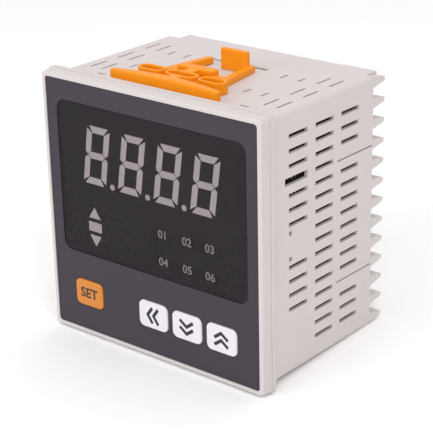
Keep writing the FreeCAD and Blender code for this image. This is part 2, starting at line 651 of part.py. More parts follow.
def smoothing_capacitors():
    """Electrolytic capacitors that lie with their bases against the power board."""
    cans = []
    for y, z, radius, length in ((20.0, 26.0, 6.0, 17.0), (36.0, 24.0, 5.0, 15.0)):
        base = V(RIGHT_BOARD_X, y, z)
        cans.append(Part.makeCylinder(radius, length, base, V(-1, 0, 0)))
    return cans


def output_relays():
    """Three sealed relays on the main board."""
    relays = []
    x0 = LEFT_BOARD_X + BOARD_THICKNESS
    for z in (-32.0, -12.0, 8.0):
        relays.append(block(x0, x0 + 15.0, 32.0, 47.5, z - 5.0, z + 5.0))
    return relays


def make_microcontroller():
    """Flat square chip on the main board with a row of leads along each side."""
    x0 = LEFT_BOARD_X + BOARD_THICKNESS
    y = 22.0
    z = 26.0
    half = 5.0
    body = block(x0 + 0.2, x0 + 1.6, y - half, y + half, z - half, z + half)
    leads = []
    for step in range(CHIP_LEADS):
        for side in (-1, 1):
            edge = side * (half + 0.9)
            shift = (step - (CHIP_LEADS - 1) / 2) * 2.8
            leads.append(block(x0, x0 + 0.5, y + edge, y + side * (half - 0.3),
                               z + shift - 0.2, z + shift + 0.2))
            leads.append(block(x0, x0 + 0.5, y + shift - 0.2, y + shift + 0.2,
                               z + edge, z + side * (half - 0.3)))
    return body.fuse(leads)


# ---------------------------------------------------------------- rear
def barrier_end(z, x0, x1, y0):
    """Thick outer end of a barrier: tapered towards a rounded tip."""
    root = BARRIER_ROOT / 2
    tip = BARRIER_TIP / 2
    shoulder = BARRIER_TIP_Y - tip
    outline = [V(x0, y0, z - root), V(x0, shoulder, z - tip)]
    far = V(x0, shoulder, z + tip)
    back = V(x0, y0, z + root)
    arc = Part.Arc(outline[1], V(x0, BARRIER_TIP_Y, z), far).toShape()
    wire = Part.Wire([Part.makeLine(outline[0], outline[1]), arc,
                      Part.makeLine(far, back), Part.makeLine(back, outline[0])])
    return Part.Face(wire).extrude(V(x1 - x0, 0, 0))


def barrier_z(index):
    return FIRST_BARRIER_Z - BARRIER_PITCH * index


def terminal_places():
    """Height of each terminal, midway between two barriers."""
    return [barrier_z(index) - BARRIER_PITCH / 2 for index in range(BARRIER_COUNT - 1)]


def block_envelope(margin):
    """Base of the terminal block, grown by a margin where it passes through the cover."""
    half_z = max(terminal_places()) + SCREW_RADIUS + SCREW_WELL_GAP + BLOCK_SIDE_WALL
    return block(BLOCK_INNER_X - margin, INNER_HALF - FIT_GAP + margin,
                 BLOCK_FRONT_Y, CASE_DEPTH, -half_z - margin, half_z + margin)


def make_terminal_block():
    """Moulded comb: base, eleven barriers, and a screw well and leg slot per terminal."""
    body = []
    web = BARRIER_WEB / 2
    x_end = BARRIER_END_X - BARRIER_END_LENGTH
    for index in range(1, BARRIER_COUNT - 1):
        z = barrier_z(index)
        body.append(block(BLOCK_INNER_X, x_end + 0.5, CASE_DEPTH - 0.5,
                          BARRIER_TIP_Y - 0.6, z - web, z + web))
        body.append(barrier_end(z, x_end, BARRIER_END_X, CASE_DEPTH + 0.1))
        body.append(block(x_end, INNER_HALF - FIT_GAP, CASE_DEPTH - 0.5, CASE_DEPTH + 0.3,
                          z - web, z + web))
    wells = []
    leg_half = TERMINAL_LEG_WIDTH / 2 + 0.1
    well_half = SCREW_RADIUS + SCREW_WELL_GAP
    for z in terminal_places():
        wells.append(block(SCREW_X - well_half, SCREW_X + well_half, BLOCK_FRONT_Y + 0.8,
                           CASE_DEPTH + 1, z - well_half, z + well_half))
        wells.append(block(LEG_X - 0.1, LEG_X + TERMINAL_PLATE_THICKNESS + 0.1,
                           BLOCK_FRONT_Y - 1, CASE_DEPTH + 1, z - leg_half, z + leg_half))
    return block_envelope(0).fuse(body).cut(wells).removeSplitter()


def terminal_plates():
    """Bent metal strips: a flat under each screw and a leg down to the power board."""
    plates = []
    floor = CASE_DEPTH
    half = TERMINAL_PLATE_WIDTH / 2
    leg_half = TERMINAL_LEG_WIDTH / 2
    for z in terminal_places():
        flat = block(LEG_X, LEG_X + TERMINAL_PLATE_LENGTH, floor,
                     floor + TERMINAL_PLATE_THICKNESS, z - half, z + half)
        leg = block(LEG_X, LEG_X + TERMINAL_PLATE_THICKNESS, BLOCK_FRONT_Y - TERMINAL_LEG_REACH, floor,
                    z - leg_half, z + leg_half)
        hole = rod(SCREW_RADIUS + 0.05, floor - 1, floor + 2, SCREW_X, z)
        plates.append(flat.fuse(leg).cut(hole))
    return plates


def terminal_screws():
    """Terminal screws, each with a square clamp washer captive under its head."""
    screws = []
    seat = CASE_DEPTH + TERMINAL_PLATE_THICKNESS
    half = TERMINAL_PLATE_WIDTH / 2
    y0 = seat + WASHER_THICKNESS
    y1 = y0 + SCREW_HEAD_HEIGHT
    for z in terminal_places():
        head = rod(SCREW_HEAD_RADIUS, y0, y1, SCREW_X, z)
        shank = rod(SCREW_RADIUS, y1 - SCREW_LENGTH, y0 + 0.2, SCREW_X, z)
        washer = block(SCREW_X - half, SCREW_X + half, seat, y0, z - half, z + half)
        screws.append(head.fuse([shank, washer]).removeSplitter())
    return screws


def make_rear_cover():
    """Plate that closes the case, its raised hollow part, and the two end barriers."""
    half = INNER_HALF - FIT_GAP
    outer = CASE_HALF - 0.15
    plate = block(-half, half, PLATE_FRONT_Y, CASE_DEPTH + 0.3, -half, half)
    plate = plate.cut(block(BLOCK_INNER_X - 0.2, half + 1, CASE_DEPTH, CASE_DEPTH + 1,
                            -half - 1, half + 1))
    rear = CASE_DEPTH + HUMP_DEPTH
    right = BLOCK_INNER_X - 0.2
    hump = block(HUMP_LEFT_X, right, CASE_DEPTH + 0.1, rear, -outer, outer)
    hump = hump.makeFillet(0.8, [e for e in hump.Edges if abs(e.BoundBox.YMin - rear) < 1e-6])
    cavity = block(HUMP_LEFT_X + HUMP_WALL, right - HUMP_WALL, PLATE_FRONT_Y - 1,
                   rear - HUMP_WALL, -half + HUMP_WALL, half - HUMP_WALL)
    barriers = []
    x_end = BARRIER_END_X - BARRIER_END_LENGTH
    for index in (0, BARRIER_COUNT - 1):
        z = barrier_z(index)
        side = 1 if z > 0 else -1
        inner_z = z - side * BARRIER_WEB / 2
        barriers.append(barrier_end(z, x_end, BARRIER_END_X, CASE_DEPTH + 0.1))
        barriers.append(block(right - 1, x_end + 0.5, CASE_DEPTH + 0.1, BARRIER_TIP_Y - 0.6,
                              inner_z, side * outer))
        barriers.append(block(right - 1, half, CASE_DEPTH - 0.5, CASE_DEPTH + 0.3,
                              inner_z, side * half))
    return plate.fuse([hump] + barriers).cut([cavity, block_envelope(0.1)]).removeSplitter()


# ---------------------------------------------------------------- panel bracket
def stadium_ring(x0, x1, mid_y, depth, wall, z0, z1):
    """Flat oval spring loop: a band with rounded ends, as seen from above."""
    outer = rounded_block(x0, x1, mid_y - depth / 2, mid_y + depth / 2, z0, z1,
                          depth / 2 - 0.02, Z_DIR)
    inner_depth = depth - 2 * wall
    inner = rounded_block(x0 + wall, x1 - wall, mid_y - inner_depth / 2,
                          mid_y + inner_depth / 2, z0 - 1, z1 + 1, inner_depth / 2 - 0.02, Z_DIR)
    return outer.cut(inner)


def bracket_bar(z0):
    """Pressing bar: flat towards the panel, bowed behind and arched on top."""
    half = BRACKET_BAR_HALF
    y0 = BRACKET_BAR_FRONT_Y
    plan = [V(-half, y0, z0), V(half, y0, z0), V(half, y0 + BRACKET_BAR_END_DEPTH, z0),
            V(0, y0 + BRACKET_BAR_MID_DEPTH, z0), V(-half, y0 + BRACKET_BAR_END_DEPTH, z0)]
    bow = Part.Arc(plan[2], plan[3], plan[4]).toShape()
    outline = Part.Wire([Part.makeLine(plan[0], plan[1]), Part.makeLine(plan[1], plan[2]), bow,
                         Part.makeLine(plan[4], plan[0])])
    body = Part.Face(outline).extrude(V(0, 0, 20))
    front = [V(-half, -5, z0), V(half, -5, z0), V(half, -5, z0 + BRACKET_BAR_END_HEIGHT),
             V(0, -5, z0 + BRACKET_BAR_MID_HEIGHT), V(-half, -5, z0 + BRACKET_BAR_END_HEIGHT)]
    arch = Part.Arc(front[2], front[3], front[4]).toShape()
    elevation = Part.Wire([Part.makeLine(front[0], front[1]), Part.makeLine(front[1], front[2]),
                           arch, Part.makeLine(front[4], front[0])])
    bar = body.common(Part.Face(elevation).extrude(V(0, 20, 0)))
    return bar.makeFillet(0.5, edges_along(bar, Z_DIR))


def bracket_hook(x):
    """Leg under an arm's rear end, through the case wall, with a foot forward under it."""
    half = HOOK_WIDTH / 2
    foot_top = INNER_HALF - 0.1
    leg = block(x - half, x + half, HOOK_REAR_Y - HOOK_LENGTH, HOOK_REAR_Y,
                foot_top - 1.0, CASE_HALF + 0.3)
    foot = block(x - half, x + half, HOOK_REAR_Y - HOOK_LENGTH - HOOK_FOOT, HOOK_REAR_Y,
                 foot_top - 1.0, foot_top)
    return [leg, foot]


def make_panel_bracket():
    """One-piece sprung bracket: bar, three spring loops, crossbar, two arms, tab, hooks."""
    z0 = CASE_HALF
    rear_wall_y = SPRING_CENTRE_Y + SPRING_DEPTH / 2
    front_wall_y = SPRING_CENTRE_Y - SPRING_DEPTH / 2
    ring = (SPRING_CENTRE_Y, SPRING_DEPTH, SPRING_WALL, z0, z0 + SPRING_HEIGHT)
    pieces = [stadium_ring(-SPRING_MID_HALF, SPRING_MID_HALF, *ring)]
    neck = SPRING_NECK / 2
    bar_rear_y = BRACKET_BAR_FRONT_Y + BRACKET_BAR_MID_DEPTH
    pieces.append(block(-neck, neck, bar_rear_y - 1.0, front_wall_y + 0.5,
                        z0, z0 + SPRING_HEIGHT))
    pieces.append(block(-neck, neck, rear_wall_y - 0.5, CROSSBAR_FRONT_Y + 0.5,
                        z0, z0 + SPRING_HEIGHT))
    crossbar = block(-CROSSBAR_HALF, CROSSBAR_HALF, CROSSBAR_FRONT_Y,
                     CROSSBAR_FRONT_Y + CROSSBAR_DEPTH, z0, z0 + CROSSBAR_HEIGHT)
    pieces.append(crossbar.makeFillet(0.8, edges_along(crossbar, Z_DIR)))
    pieces.append(block(-ARM_FRONT_X + 0.5, ARM_FRONT_X - 0.5, CROSSBAR_FRONT_Y + 0.4,
                        CROSSBAR_FRONT_Y + CROSSBAR_DEPTH - 0.4, z0, z0 + ARM_HEIGHT))
    for side in (-1, 1):
        near = side * (SPRING_MID_HALF + SPRING_GAP)
        far = side * SPRING_END_HALF
        pieces.append(stadium_ring(min(near, far), max(near, far), *ring))
        link = side * (SPRING_MID_HALF - 0.4)
        pieces.append(block(link, near + side * 0.6, SPRING_CENTRE_Y - 1.0,
                            SPRING_CENTRE_Y + 1.0, z0, z0 + SPRING_HEIGHT * 0.55))
        half = ARM_WIDTH / 2
        front_x = side * ARM_FRONT_X
        rear_x = side * ARM_REAR_X
        pieces.append(prism_z([(front_x - half, rear_wall_y - 0.5),
                               (front_x + half, rear_wall_y - 0.5),
                               (rear_x + half, ARM_REAR_Y), (rear_x - half, ARM_REAR_Y)],
                              z0, z0 + ARM_HEIGHT))
        pieces.extend(bracket_hook(rear_x))
    tab = block(TAB_LEFT_X, TAB_RIGHT_X, TAB_FRONT_Y, TAB_FRONT_Y + TAB_THICKNESS,
                z0, z0 + TAB_HEIGHT)
    pieces.append(tab.makeFillet(0.6, edges_along(tab, Z_DIR)))
    return bracket_bar(z0).fuse(pieces).removeSplitter()


# ---------------------------------------------------------------- output
def write_node(name, shapes):
    """Writes one solid, or a group of separate solids, to its own STEP file."""
    solids = []
    for shape in shapes:
        solids.extend(shape.Solids)
    shape = solids[0] if len(solids) == 1 else Part.makeCompound(solids)
    if not shape.isValid():
        raise ValueError(name + " is not valid")
    shape.exportStep(os.path.join("parts", name + ".step"))
    print(name, len(solids), round(sum(solid.Volume for solid in solids), 1))


def build():
    """Makes every piece and writes it."""
    os.makedirs("parts", exist_ok=True)
    write_node("case", [make_case()])
    write_node("front_bezel", [make_front_bezel()])
    write_node("front_sheet", [make_front_sheet()])
    write_node("display_window", [make_display_window()])
    write_node("display_reflector", [make_display_reflector()])
    write_node("digit_segments", digit_segment_solids())
    write_node("deviation_lenses", deviation_solids())
    write_node("indicator_lenses", legend_solids())
    for name in KEY_X:
        write_node(name, [make_key(name)])
    write_node("key_switches", key_switches())
    write_node("display_board", [make_display_board()])
    write_node("display_board_screws", display_board_screws())
    write_node("board_connectors", board_connectors())
    write_node("power_board", [side_board(RIGHT_BOARD_X)])
    write_node("main_board", [side_board(LEFT_BOARD_X)])
    write_node("microcontroller", [make_microcontroller()])
    write_node("transformer_core", [make_transformer_core()])
    write_node("transformer_bobbin", [make_transformer_bobbin()])
    write_node("smoothing_capacitors", smoothing_capacitors())
    write_node("output_relays", output_relays())
    write_node("rear_cover", [make_rear_cover()])
    write_node("terminal_block", [make_terminal_block()])
    write_node("terminal_plates", terminal_plates())
    write_node("terminal_screws", terminal_screws())
    write_node("panel_bracket", [make_panel_bracket()])


build()
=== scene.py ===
"""Looks of a panel-mount temperature controller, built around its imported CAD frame.

Every length is in metres in the frame's own axes: +Z up, +X to the right seen from the
front, +Y towards the terminals, origin at the centre of the flange's panel face.
"""
import logging
import math
from dataclasses import dataclass, field
from enum import Enum
from typing import Dict, List, Sequence, Tuple

import bmesh
import bpy
from mathutils import Matrix, Vector

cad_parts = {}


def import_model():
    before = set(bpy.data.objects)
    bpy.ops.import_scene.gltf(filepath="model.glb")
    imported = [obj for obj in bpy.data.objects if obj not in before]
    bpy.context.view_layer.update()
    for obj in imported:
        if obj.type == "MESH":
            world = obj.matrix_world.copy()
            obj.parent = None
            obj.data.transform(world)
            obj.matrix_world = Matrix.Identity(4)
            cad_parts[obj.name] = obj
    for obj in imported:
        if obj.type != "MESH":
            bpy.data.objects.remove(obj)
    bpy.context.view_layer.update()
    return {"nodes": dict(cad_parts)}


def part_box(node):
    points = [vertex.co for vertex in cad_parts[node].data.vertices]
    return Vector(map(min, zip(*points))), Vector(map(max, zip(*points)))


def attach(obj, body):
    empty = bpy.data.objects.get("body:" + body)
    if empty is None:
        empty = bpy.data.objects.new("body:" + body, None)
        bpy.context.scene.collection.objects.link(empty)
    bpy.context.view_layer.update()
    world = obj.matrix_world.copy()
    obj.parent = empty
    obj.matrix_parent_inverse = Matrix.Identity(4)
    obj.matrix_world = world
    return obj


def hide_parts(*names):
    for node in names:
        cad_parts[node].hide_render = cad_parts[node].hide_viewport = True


Colour = Tuple[float, float, float]
Point = Tuple[float, float, float]
Outline = List[Tuple[float, float]]

BODY = "controller_body"
MERGE_DISTANCE = 1e-6
FLAT_ANGLE = 0.6
CAPITAL_SHARE = 0.72
MOTTLE_SPAN = (0.3, 0.7)
MOTTLE_OCTAVES, GRAIN_OCTAVES = 4.0, 3.0
ROUGHNESS_SPREAD = 0.06
LOWEST_ROUGHNESS = 0.02
LOG = logging.getLogger("controller")


def srgb(red: int, green: int, blue: int) -> Colour:
    """Turns an 8-bit display colour into the linear colour that shaders use.

    Args:
        red: Red from 0 to 255.
        green: Green from 0 to 255.
        blue: Blue from 0 to 255.

    Returns:
        The linear red, green and blue.
    """
    def linear(value: int) -> float:
        """One channel, by the sRGB curve."""
        share = value / 255
        return share / 12.92 if share <= 0.04045 else ((share + 0.055) / 1.055) ** 2.4

    return linear(red), linear(green), linear(blue)


# ---------------- finishes
@dataclass(frozen=True)
class Finish:
    """A moulded or printed surface as one principled shader.

    Attributes:
        name: Name of the Blender material.
        slot: The record's material slot that it stands for; not used.
        colour: Linear base colour.
        roughness: Mean roughness.
        mottle: How much the colour varies over a few millimetres, as a share.
        mottle_scale: Size of that variation, in cells per metre.
        grain: Depth of the mould texture, in metres; 0 for a plain smooth surface.
        grain_scale: Size of the mould texture, in cells per metre.
        edge: Radius of the rounding that light sees on hard edges, in metres.
        metallic: 1 for bare metal.
        specular: Specular level of a plastic.
        alpha: Opacity.
    """

    name: str
    slot: str
    colour: Colour
    roughness: float = 0.5
    mottle: float = 0.03
    mottle_scale: float = 90.0
    grain: float = 0.00002
    grain_scale: float = 2600.0
    edge: float = 0.0002
    metallic: float = 0.0
    specular: float = 0.5
    alpha: float = 1.0

    def material(self) -> bpy.types.Material:
        """Makes the material, or returns it if it exists already.

        Returns:
            The node-based material.
        """
        found = bpy.data.materials.get(self.name)
        if found is not None:
            return found
        material = bpy.data.materials.new(self.name)
        material.use_nodes = True
        tree = material.node_tree
        shader = tree.nodes["Principled BSDF"]
        shader.inputs["Metallic"].default_value = self.metallic
        shader.inputs["Specular IOR Level"].default_value = self.specular
        shader.inputs["Alpha"].default_value = self.alpha
        place = tree.nodes.new("ShaderNodeTexCoord").outputs["Object"]
        tree.links.new(self.paint(tree, place), shader.inputs["Base Color"])
        self.relief(tree, place, shader)
        return material

    def paint(self, tree: bpy.types.NodeTree,
              place: bpy.types.NodeSocket) -> bpy.types.NodeSocket:
        """Adds the slight change of colour over the surface.

        Args:
            tree: The material's nodes.
            place: Object coordinates.

        Returns:
            The colour output.
        """
        broad = noise(tree, place, self.mottle_scale, MOTTLE_OCTAVES)
        ramp = tree.nodes.new("ShaderNodeValToRGB")
        for element, at, share in zip(ramp.color_ramp.elements, MOTTLE_SPAN,
                                      (1 - self.mottle, 1 + self.mottle)):
            element.position = at
            element.color = (*[min(1, c * share) for c in self.colour], 1)
        tree.links.new(broad, ramp.inputs["Fac"])
        return ramp.outputs["Color"]

    def relief(self, tree: bpy.types.NodeTree, place: bpy.types.NodeSocket,
               shader: bpy.types.Node) -> None:
        """Adds the roughness variation, the mould grain and the rounded edges.

        Args:
            tree: The material's nodes.
            place: Object coordinates.
            shader: The principled shader.
        """
        fine = noise(tree, place, self.grain_scale if self.grain else self.mottle_scale,
                     GRAIN_OCTAVES)
        spread = tree.nodes.new("ShaderNodeMapRange")
        spread.inputs["To Min"].default_value = max(LOWEST_ROUGHNESS,
                                                          self.roughness - ROUGHNESS_SPREAD)
        spread.inputs["To Max"].default_value = min(1.0, self.roughness + ROUGHNESS_SPREAD)
        tree.links.new(fine, spread.inputs["Value"])
        tree.links.new(spread.outputs["Result"], shader.inputs["Roughness"])
        if not self.grain:
            return
        rounding = tree.nodes.new("ShaderNodeBevel")
        rounding.samples = 4
        rounding.inputs["Radius"].default_value = self.edge
        bump = tree.nodes.new("ShaderNodeBump")
        bump.inputs["Distance"].default_value = self.grain
        tree.links.new(fine, bump.inputs["Height"])
        tree.links.new(rounding.outputs["Normal"], bump.inputs["Normal"])
        tree.links.new(bump.outputs["Normal"], shader.inputs["Normal"])


@dataclass(frozen=True)
class BoardFinish(Finish):
    """Solder mask over copper: paler lines where tracks run under the green.

    Attributes:
        track: Linear colour of the mask over copper.
        track_scale: Size of the track pattern, in cells per metre.
        track_fold: Distance from a cell's centre at which the pattern turns back.
        track_edge: Folded distance beyond which there is copper.
    """

    track: Colour = (0.005, 0.015, 0.008)
    track_scale: float = 210.0
    track_fold: float = 0.16
    track_edge: float = 0.11

    def paint(self, tree: bpy.types.NodeTree,
              place: bpy.types.NodeSocket) -> bpy.types.NodeSocket:
        """Adds square-cornered tracks to the mottled mask.

        Args:
            tree: The material's nodes.
            place: Object coordinates.

        Returns:
            The colour output.
        """
        base = super().paint(tree, place)
        cells = tree.nodes.new("ShaderNodeTexVoronoi")
        cells.distance = "MANHATTAN"
        cells.inputs["Scale"].default_value = self.track_scale
        tree.links.new(place, cells.inputs["Vector"])
        band = calculated(tree, "PINGPONG", cells.outputs["Distance"])
        band.inputs[1].default_value = self.track_fold
        mask = calculated(tree, "GREATER_THAN", band.outputs["Value"])
        mask.inputs[1].default_value = self.track_edge
        blend = tree.nodes.new("ShaderNodeMix")
        blend.data_type = "RGBA"
        tree.links.new(mask.outputs["Value"], blend.inputs["Factor"])
        tree.links.new(base, blend.inputs["A"])
        blend.inputs["B"].default_value = (*self.track, 1)
        return blend.outputs["Result"]


def calculated(tree: bpy.types.NodeTree, operation: str,
               *values: bpy.types.NodeSocket) -> bpy.types.Node:
    """Adds a math node.

    Args:
        tree: The nodes it is added to.
        operation: What it works out.
        values: Its inputs, in order.

    Returns:
        The node.
    """
    node = tree.nodes.new("ShaderNodeMath")
    node.operation = operation
    for value, socket in zip(values, node.inputs):
        tree.links.new(value, socket)
    return node


def noise(tree: bpy.types.NodeTree, place: bpy.types.NodeSocket, scale: float,
          detail: float) -> bpy.types.NodeSocket:
    """Adds a noise texture.

    Args:
        tree: The material's nodes.
        place: Its coordinates.
        scale: Cells per metre.
        detail: Octaves of finer noise.

    Returns:
        Its value, from 0 to 1.
    """
    node = tree.nodes.new("ShaderNodeTexNoise")
    node.inputs["Scale"].default_value = scale
    node.inputs["Detail"].default_value = detail
    tree.links.new(place, node.inputs["Vector"])
    return node.outputs["Fac"]


CASE_GREY = Finish("case_grey_plastic", "case_grey", srgb(208, 199, 197), 0.5, mottle=0.012)
BEZEL_GREY = Finish("bezel_grey_plastic", "bezel_grey", srgb(205, 198, 197), 0.45,
                    mottle=0.01, grain=0.000008)
SHEET_DARK = Finish("sheet_dark_print", "sheet_dark", srgb(62, 56, 64), 0.5, mottle=0.02,
                    grain=0.000006, grain_scale=4200.0, edge=0.00004, specular=0.2)
WINDOW_SMOKE = Finish("window_smoked", "window_smoke", srgb(34, 29, 33), 0.3, mottle=0.01,
                      grain=0.0, alpha=0.08, specular=0.12)
REFLECTOR = Finish("reflector_moulding", "reflector_black", srgb(46, 42, 47), 0.65, mottle=0.01,
                   grain=0.0, specular=0.1)
SEGMENT = Finish("segment_diffuser", "segment_grey", srgb(172, 162, 163), 0.5, mottle=0.015,
                 grain=0.0, specular=0.2)
LENS_DARK = Finish("lens_smoked", "lens_dark", srgb(38, 33, 37), 0.5, grain=0.0, specular=0.1)
KEY_ORANGE = Finish("key_orange_plastic", "key_orange", srgb(207, 127, 34), 0.36, mottle=0.015,
                    grain=0.000006)
KEY_WHITE = Finish("key_white_plastic", "key_white", srgb(226, 221, 228), 0.34, mottle=0.01,
                   grain=0.000006)
PRINT_BLACK = Finish("print_black", "reflector_black", srgb(34, 30, 32), 0.6, grain=0.000003)
PRINT_GREY = Finish("print_grey", "segment_grey", srgb(140, 131, 134), 0.55, grain=0.0,
                    specular=0.1)
SWITCH_BLACK = Finish("switch_housing", "switch_black", srgb(40, 40, 42), 0.45)
CONNECTOR_BLACK = Finish("connector_shell", "connector_black", srgb(34, 34, 36), 0.5)
CHIP_BLACK = Finish("chip_resin", "chip_black", srgb(30, 30, 32), 0.6, grain=0.00001)
BOARD_GREEN = BoardFinish("solder_mask", "board_green", srgb(12, 19, 14), 0.45, mottle=0.08,
                          mottle_scale=420.0, grain=0.000006)
STEEL = Finish("zinc_plated_steel", "screw_steel", srgb(196, 198, 202), 0.3, metallic=1.0,
               mottle=0.06, mottle_scale=700.0, grain=0.000004)
NICKEL = Finish("nickel_plated_brass", "plated_brass", srgb(206, 196, 170), 0.28, metallic=1.0,
                mottle=0.05, mottle_scale=600.0, grain=0.000004)
FERRITE = Finish("ferrite_grey", "ferrite", srgb(66, 66, 68), 0.55, mottle=0.1,
                 mottle_scale=900.0)
BOBBIN = Finish("bobbin_moulding", "bobbin_cream", srgb(222, 206, 160), 0.5)
SLEEVE = Finish("capacitor_sleeve", "can_sleeve", srgb(38, 44, 78), 0.25)
RELAY_BLUE = Finish("relay_blue_shell", "relay_blue", srgb(46, 92, 170), 0.35)
BRACKET_ORANGE = Finish("bracket_orange_plastic", "bracket_orange", srgb(243, 146, 6), 0.42,
                        mottle=0.02, grain=0.000008, specular=0.25)

NODE_FINISH: Dict[str, Finish] = {
    "case": CASE_GREY, "front_bezel": BEZEL_GREY, "front_sheet": SHEET_DARK,
    "display_window": WINDOW_SMOKE, "display_reflector": REFLECTOR,
    "digit_segments": SEGMENT, "deviation_lenses": SEGMENT, "indicator_lenses": LENS_DARK,
    "mode_key": KEY_ORANGE, "shift_key": KEY_WHITE, "down_key": KEY_WHITE,
    "up_key": KEY_WHITE, "key_switches": SWITCH_BLACK, "display_board": BOARD_GREEN,
    "display_board_screws": STEEL, "board_connectors": CONNECTOR_BLACK,
    "power_board": BOARD_GREEN, "main_board": BOARD_GREEN, "microcontroller": CHIP_BLACK,
    "transformer_core": FERRITE, "transformer_bobbin": BOBBIN,
    "smoothing_capacitors": SLEEVE, "output_relays": RELAY_BLUE, "rear_cover": CASE_GREY,
    "terminal_block": CASE_GREY, "terminal_plates": NICKEL, "terminal_screws": STEEL,
    "panel_bracket": BRACKET_ORANGE,
}


# ---------------- mesh helpers
def add_piece(name: str, mesh: bpy.types.Mesh, finish: Finish,
              body: str = BODY) -> bpy.types.Object:
    """Puts a mesh into the scene as a finished piece that rides on a body.

    Args:
        name: Name of the piece.
        mesh: Its mesh, already in place.
        finish: Its finish.
        body: The CAD body that carries it.

    Returns:
        The new object.
    """
    mesh.materials.clear()
    mesh.materials.append(finish.material())
    piece = bpy.data.objects.new(name, mesh)
    bpy.context.scene.collection.objects.link(piece)
    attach(piece, body)
    return piece


def evaluated(holder: bpy.types.Object) -> bpy.types.Mesh:
    """Turns an object with modifiers, or a text, into one plain mesh and removes it.

    Args:
        holder: The helper object.

    Returns:
        Its mesh.
    """
    graph = bpy.context.evaluated_depsgraph_get()
    mesh = bpy.data.meshes.new_from_object(holder.evaluated_get(graph))
    bpy.data.objects.remove(holder)
    return mesh


def held(name: str, data: bpy.types.ID) -> bpy.types.Object:
    """Links a helper object that modifiers can work on.

    Args:
        name: Its name.
        data: Its mesh or text.

    Returns:
        The object.
    """
    holder = bpy.data.objects.new(name, data)
    bpy.context.scene.collection.objects.link(holder)
    return holder


def carved(holder: bpy.types.Object, tools: Sequence[bpy.types.Mesh]) -> bpy.types.Mesh:
    """Cuts solids out of a helper object and turns what is left into one plain mesh.

    Args:
        holder: The helper object, which is removed.
        tools: The solids, in place.

    Returns:
        The mesh.
    """
    cutters = [held("cutter", tool) for tool in tools]
    for cutter in cutters:
        cut = holder.modifiers.new("cut", "BOOLEAN")
        cut.operation = "DIFFERENCE"
        cut.solver = "EXACT"
        cut.object = cutter
    mesh = evaluated(holder)
    for cutter in cutters:
        bpy.data.objects.remove(cutter)
    return mesh


def to_mesh(name: str, shape: bmesh.types.BMesh, smooth_below: float = 0.0) -> bpy.types.Mesh:
    """Writes a bmesh out as a mesh.

    Args:
        name: Name of the mesh.
        shape: The bmesh, which is freed.
        smooth_below: Edges flatter than this angle, in degrees, are shaded smooth.

    Returns:
        The mesh.
    """
    bmesh.ops.recalc_face_normals(shape, faces=shape.faces)
    limit = math.radians(smooth_below)
    for face in shape.faces:
        face.smooth = smooth_below > 0
    for edge in shape.edges:
        edge.smooth = len(edge.link_faces) == 2 and edge.calc_face_angle(math.pi) < limit
    mesh = bpy.data.meshes.new(name)
    shape.to_mesh(mesh)
    shape.free()
    return mesh


def joined(name: str, parts: Sequence[Tuple[bpy.types.Mesh, Matrix]]) -> bpy.types.Mesh:
    """Copies several placed meshes into one.

    Args:
        name: Name of the new mesh.
        parts: Each mesh with its place.

    Returns:
        The mesh that holds them all.
    """
    shape = bmesh.new()
    for mesh, place in parts:
        copy = mesh.copy()
        copy.transform(place)
        shape.from_mesh(copy)
        bpy.data.meshes.remove(copy)
    result = bpy.data.meshes.new(name)
    shape.to_mesh(result)
    shape.free()
    return result


def rounded_box(low: Point, high: Point, radius: float, steps: int = 2) -> bmesh.types.BMesh:
    """Box with rounded edges.

    Args:
        low: Its lowest corner.
        high: Its highest corner.
        radius: Radius of its edges.
        steps: Facets across an edge.

    Returns:
        The bmesh.
    """
    shape = bmesh.new()
    size = [b - a for a, b in zip(low, high)]
    middle = [(a + b) / 2 for a, b in zip(low, high)]
    place = Matrix.Translation(middle) @ Matrix.Diagonal((*size, 1))
    bmesh.ops.create_cube(shape, size=1.0, matrix=place)
    bmesh.ops.bevel(shape, geom=list(shape.edges), offset=radius, segments=steps,
                    affect="EDGES", profile=0.5)
    return shape


def lathe(profile: Sequence[Tuple[float, float]], sides: int = 32) -> bmesh.types.BMesh:
    """Turned form about the Y axis, closed at both ends.

    Args:
        profile: Points as (radius, y) from one end to the other, radius 0 left out.
        sides: Facets round it.

    Returns:
        The bmesh.
    """
    shape = bmesh.new()
    rings = []
    for radius, y in profile:
        rings.append([shape.verts.new((radius * math.cos(2 * math.pi * i / sides), y,
                                       radius * math.sin(2 * math.pi * i / sides)))
                      for i in range(sides)])
    for lower, upper in zip(rings, rings[1:]):
        for i in range(sides):
            j = (i + 1) % sides
            shape.faces.new([lower[i], lower[j], upper[j], upper[i]])
    shape.faces.new(list(reversed(rings[0])))
    shape.faces.new(rings[-1])
    return shape


def softened(node: str, width: float, segments: int = 3, angle: float = 28.0) -> bpy.types.Mesh:
    """Copies the mesh of a CAD node and rounds its hard edges.

    Args:
        node: The CAD node.
        width: Width of the rounding, in metres.
        segments: Facets across the rounding.
        angle: Edges sharper than this, in degrees, are rounded.

    Returns:
        The rounded mesh.
    """
    mesh = bpy.data.objects[node].data.copy()
    shape = bmesh.new()
    shape.from_mesh(mesh)
    bmesh.ops.remove_doubles(shape, verts=shape.verts, dist=MERGE_DISTANCE)
    bmesh.ops.dissolve_limit(shape, angle_limit=math.radians(FLAT_ANGLE),
                             verts=shape.verts, edges=shape.edges)
    shape.to_mesh(mesh)
    shape.free()
    holder = held(node + "_holder", mesh)
    bevel = holder.modifiers.new("edges", "BEVEL")
    bevel.width = width
    bevel.segments = segments
    bevel.limit_method = "ANGLE"
    bevel.angle_limit = math.radians(angle)
    bevel.miter_outer = "MITER_ARC"
    for face in mesh.polygons:
        face.use_smooth = True
    shading = holder.modifiers.new("shading", "WEIGHTED_NORMAL")
    shading.weight = 100
    return evaluated(holder)


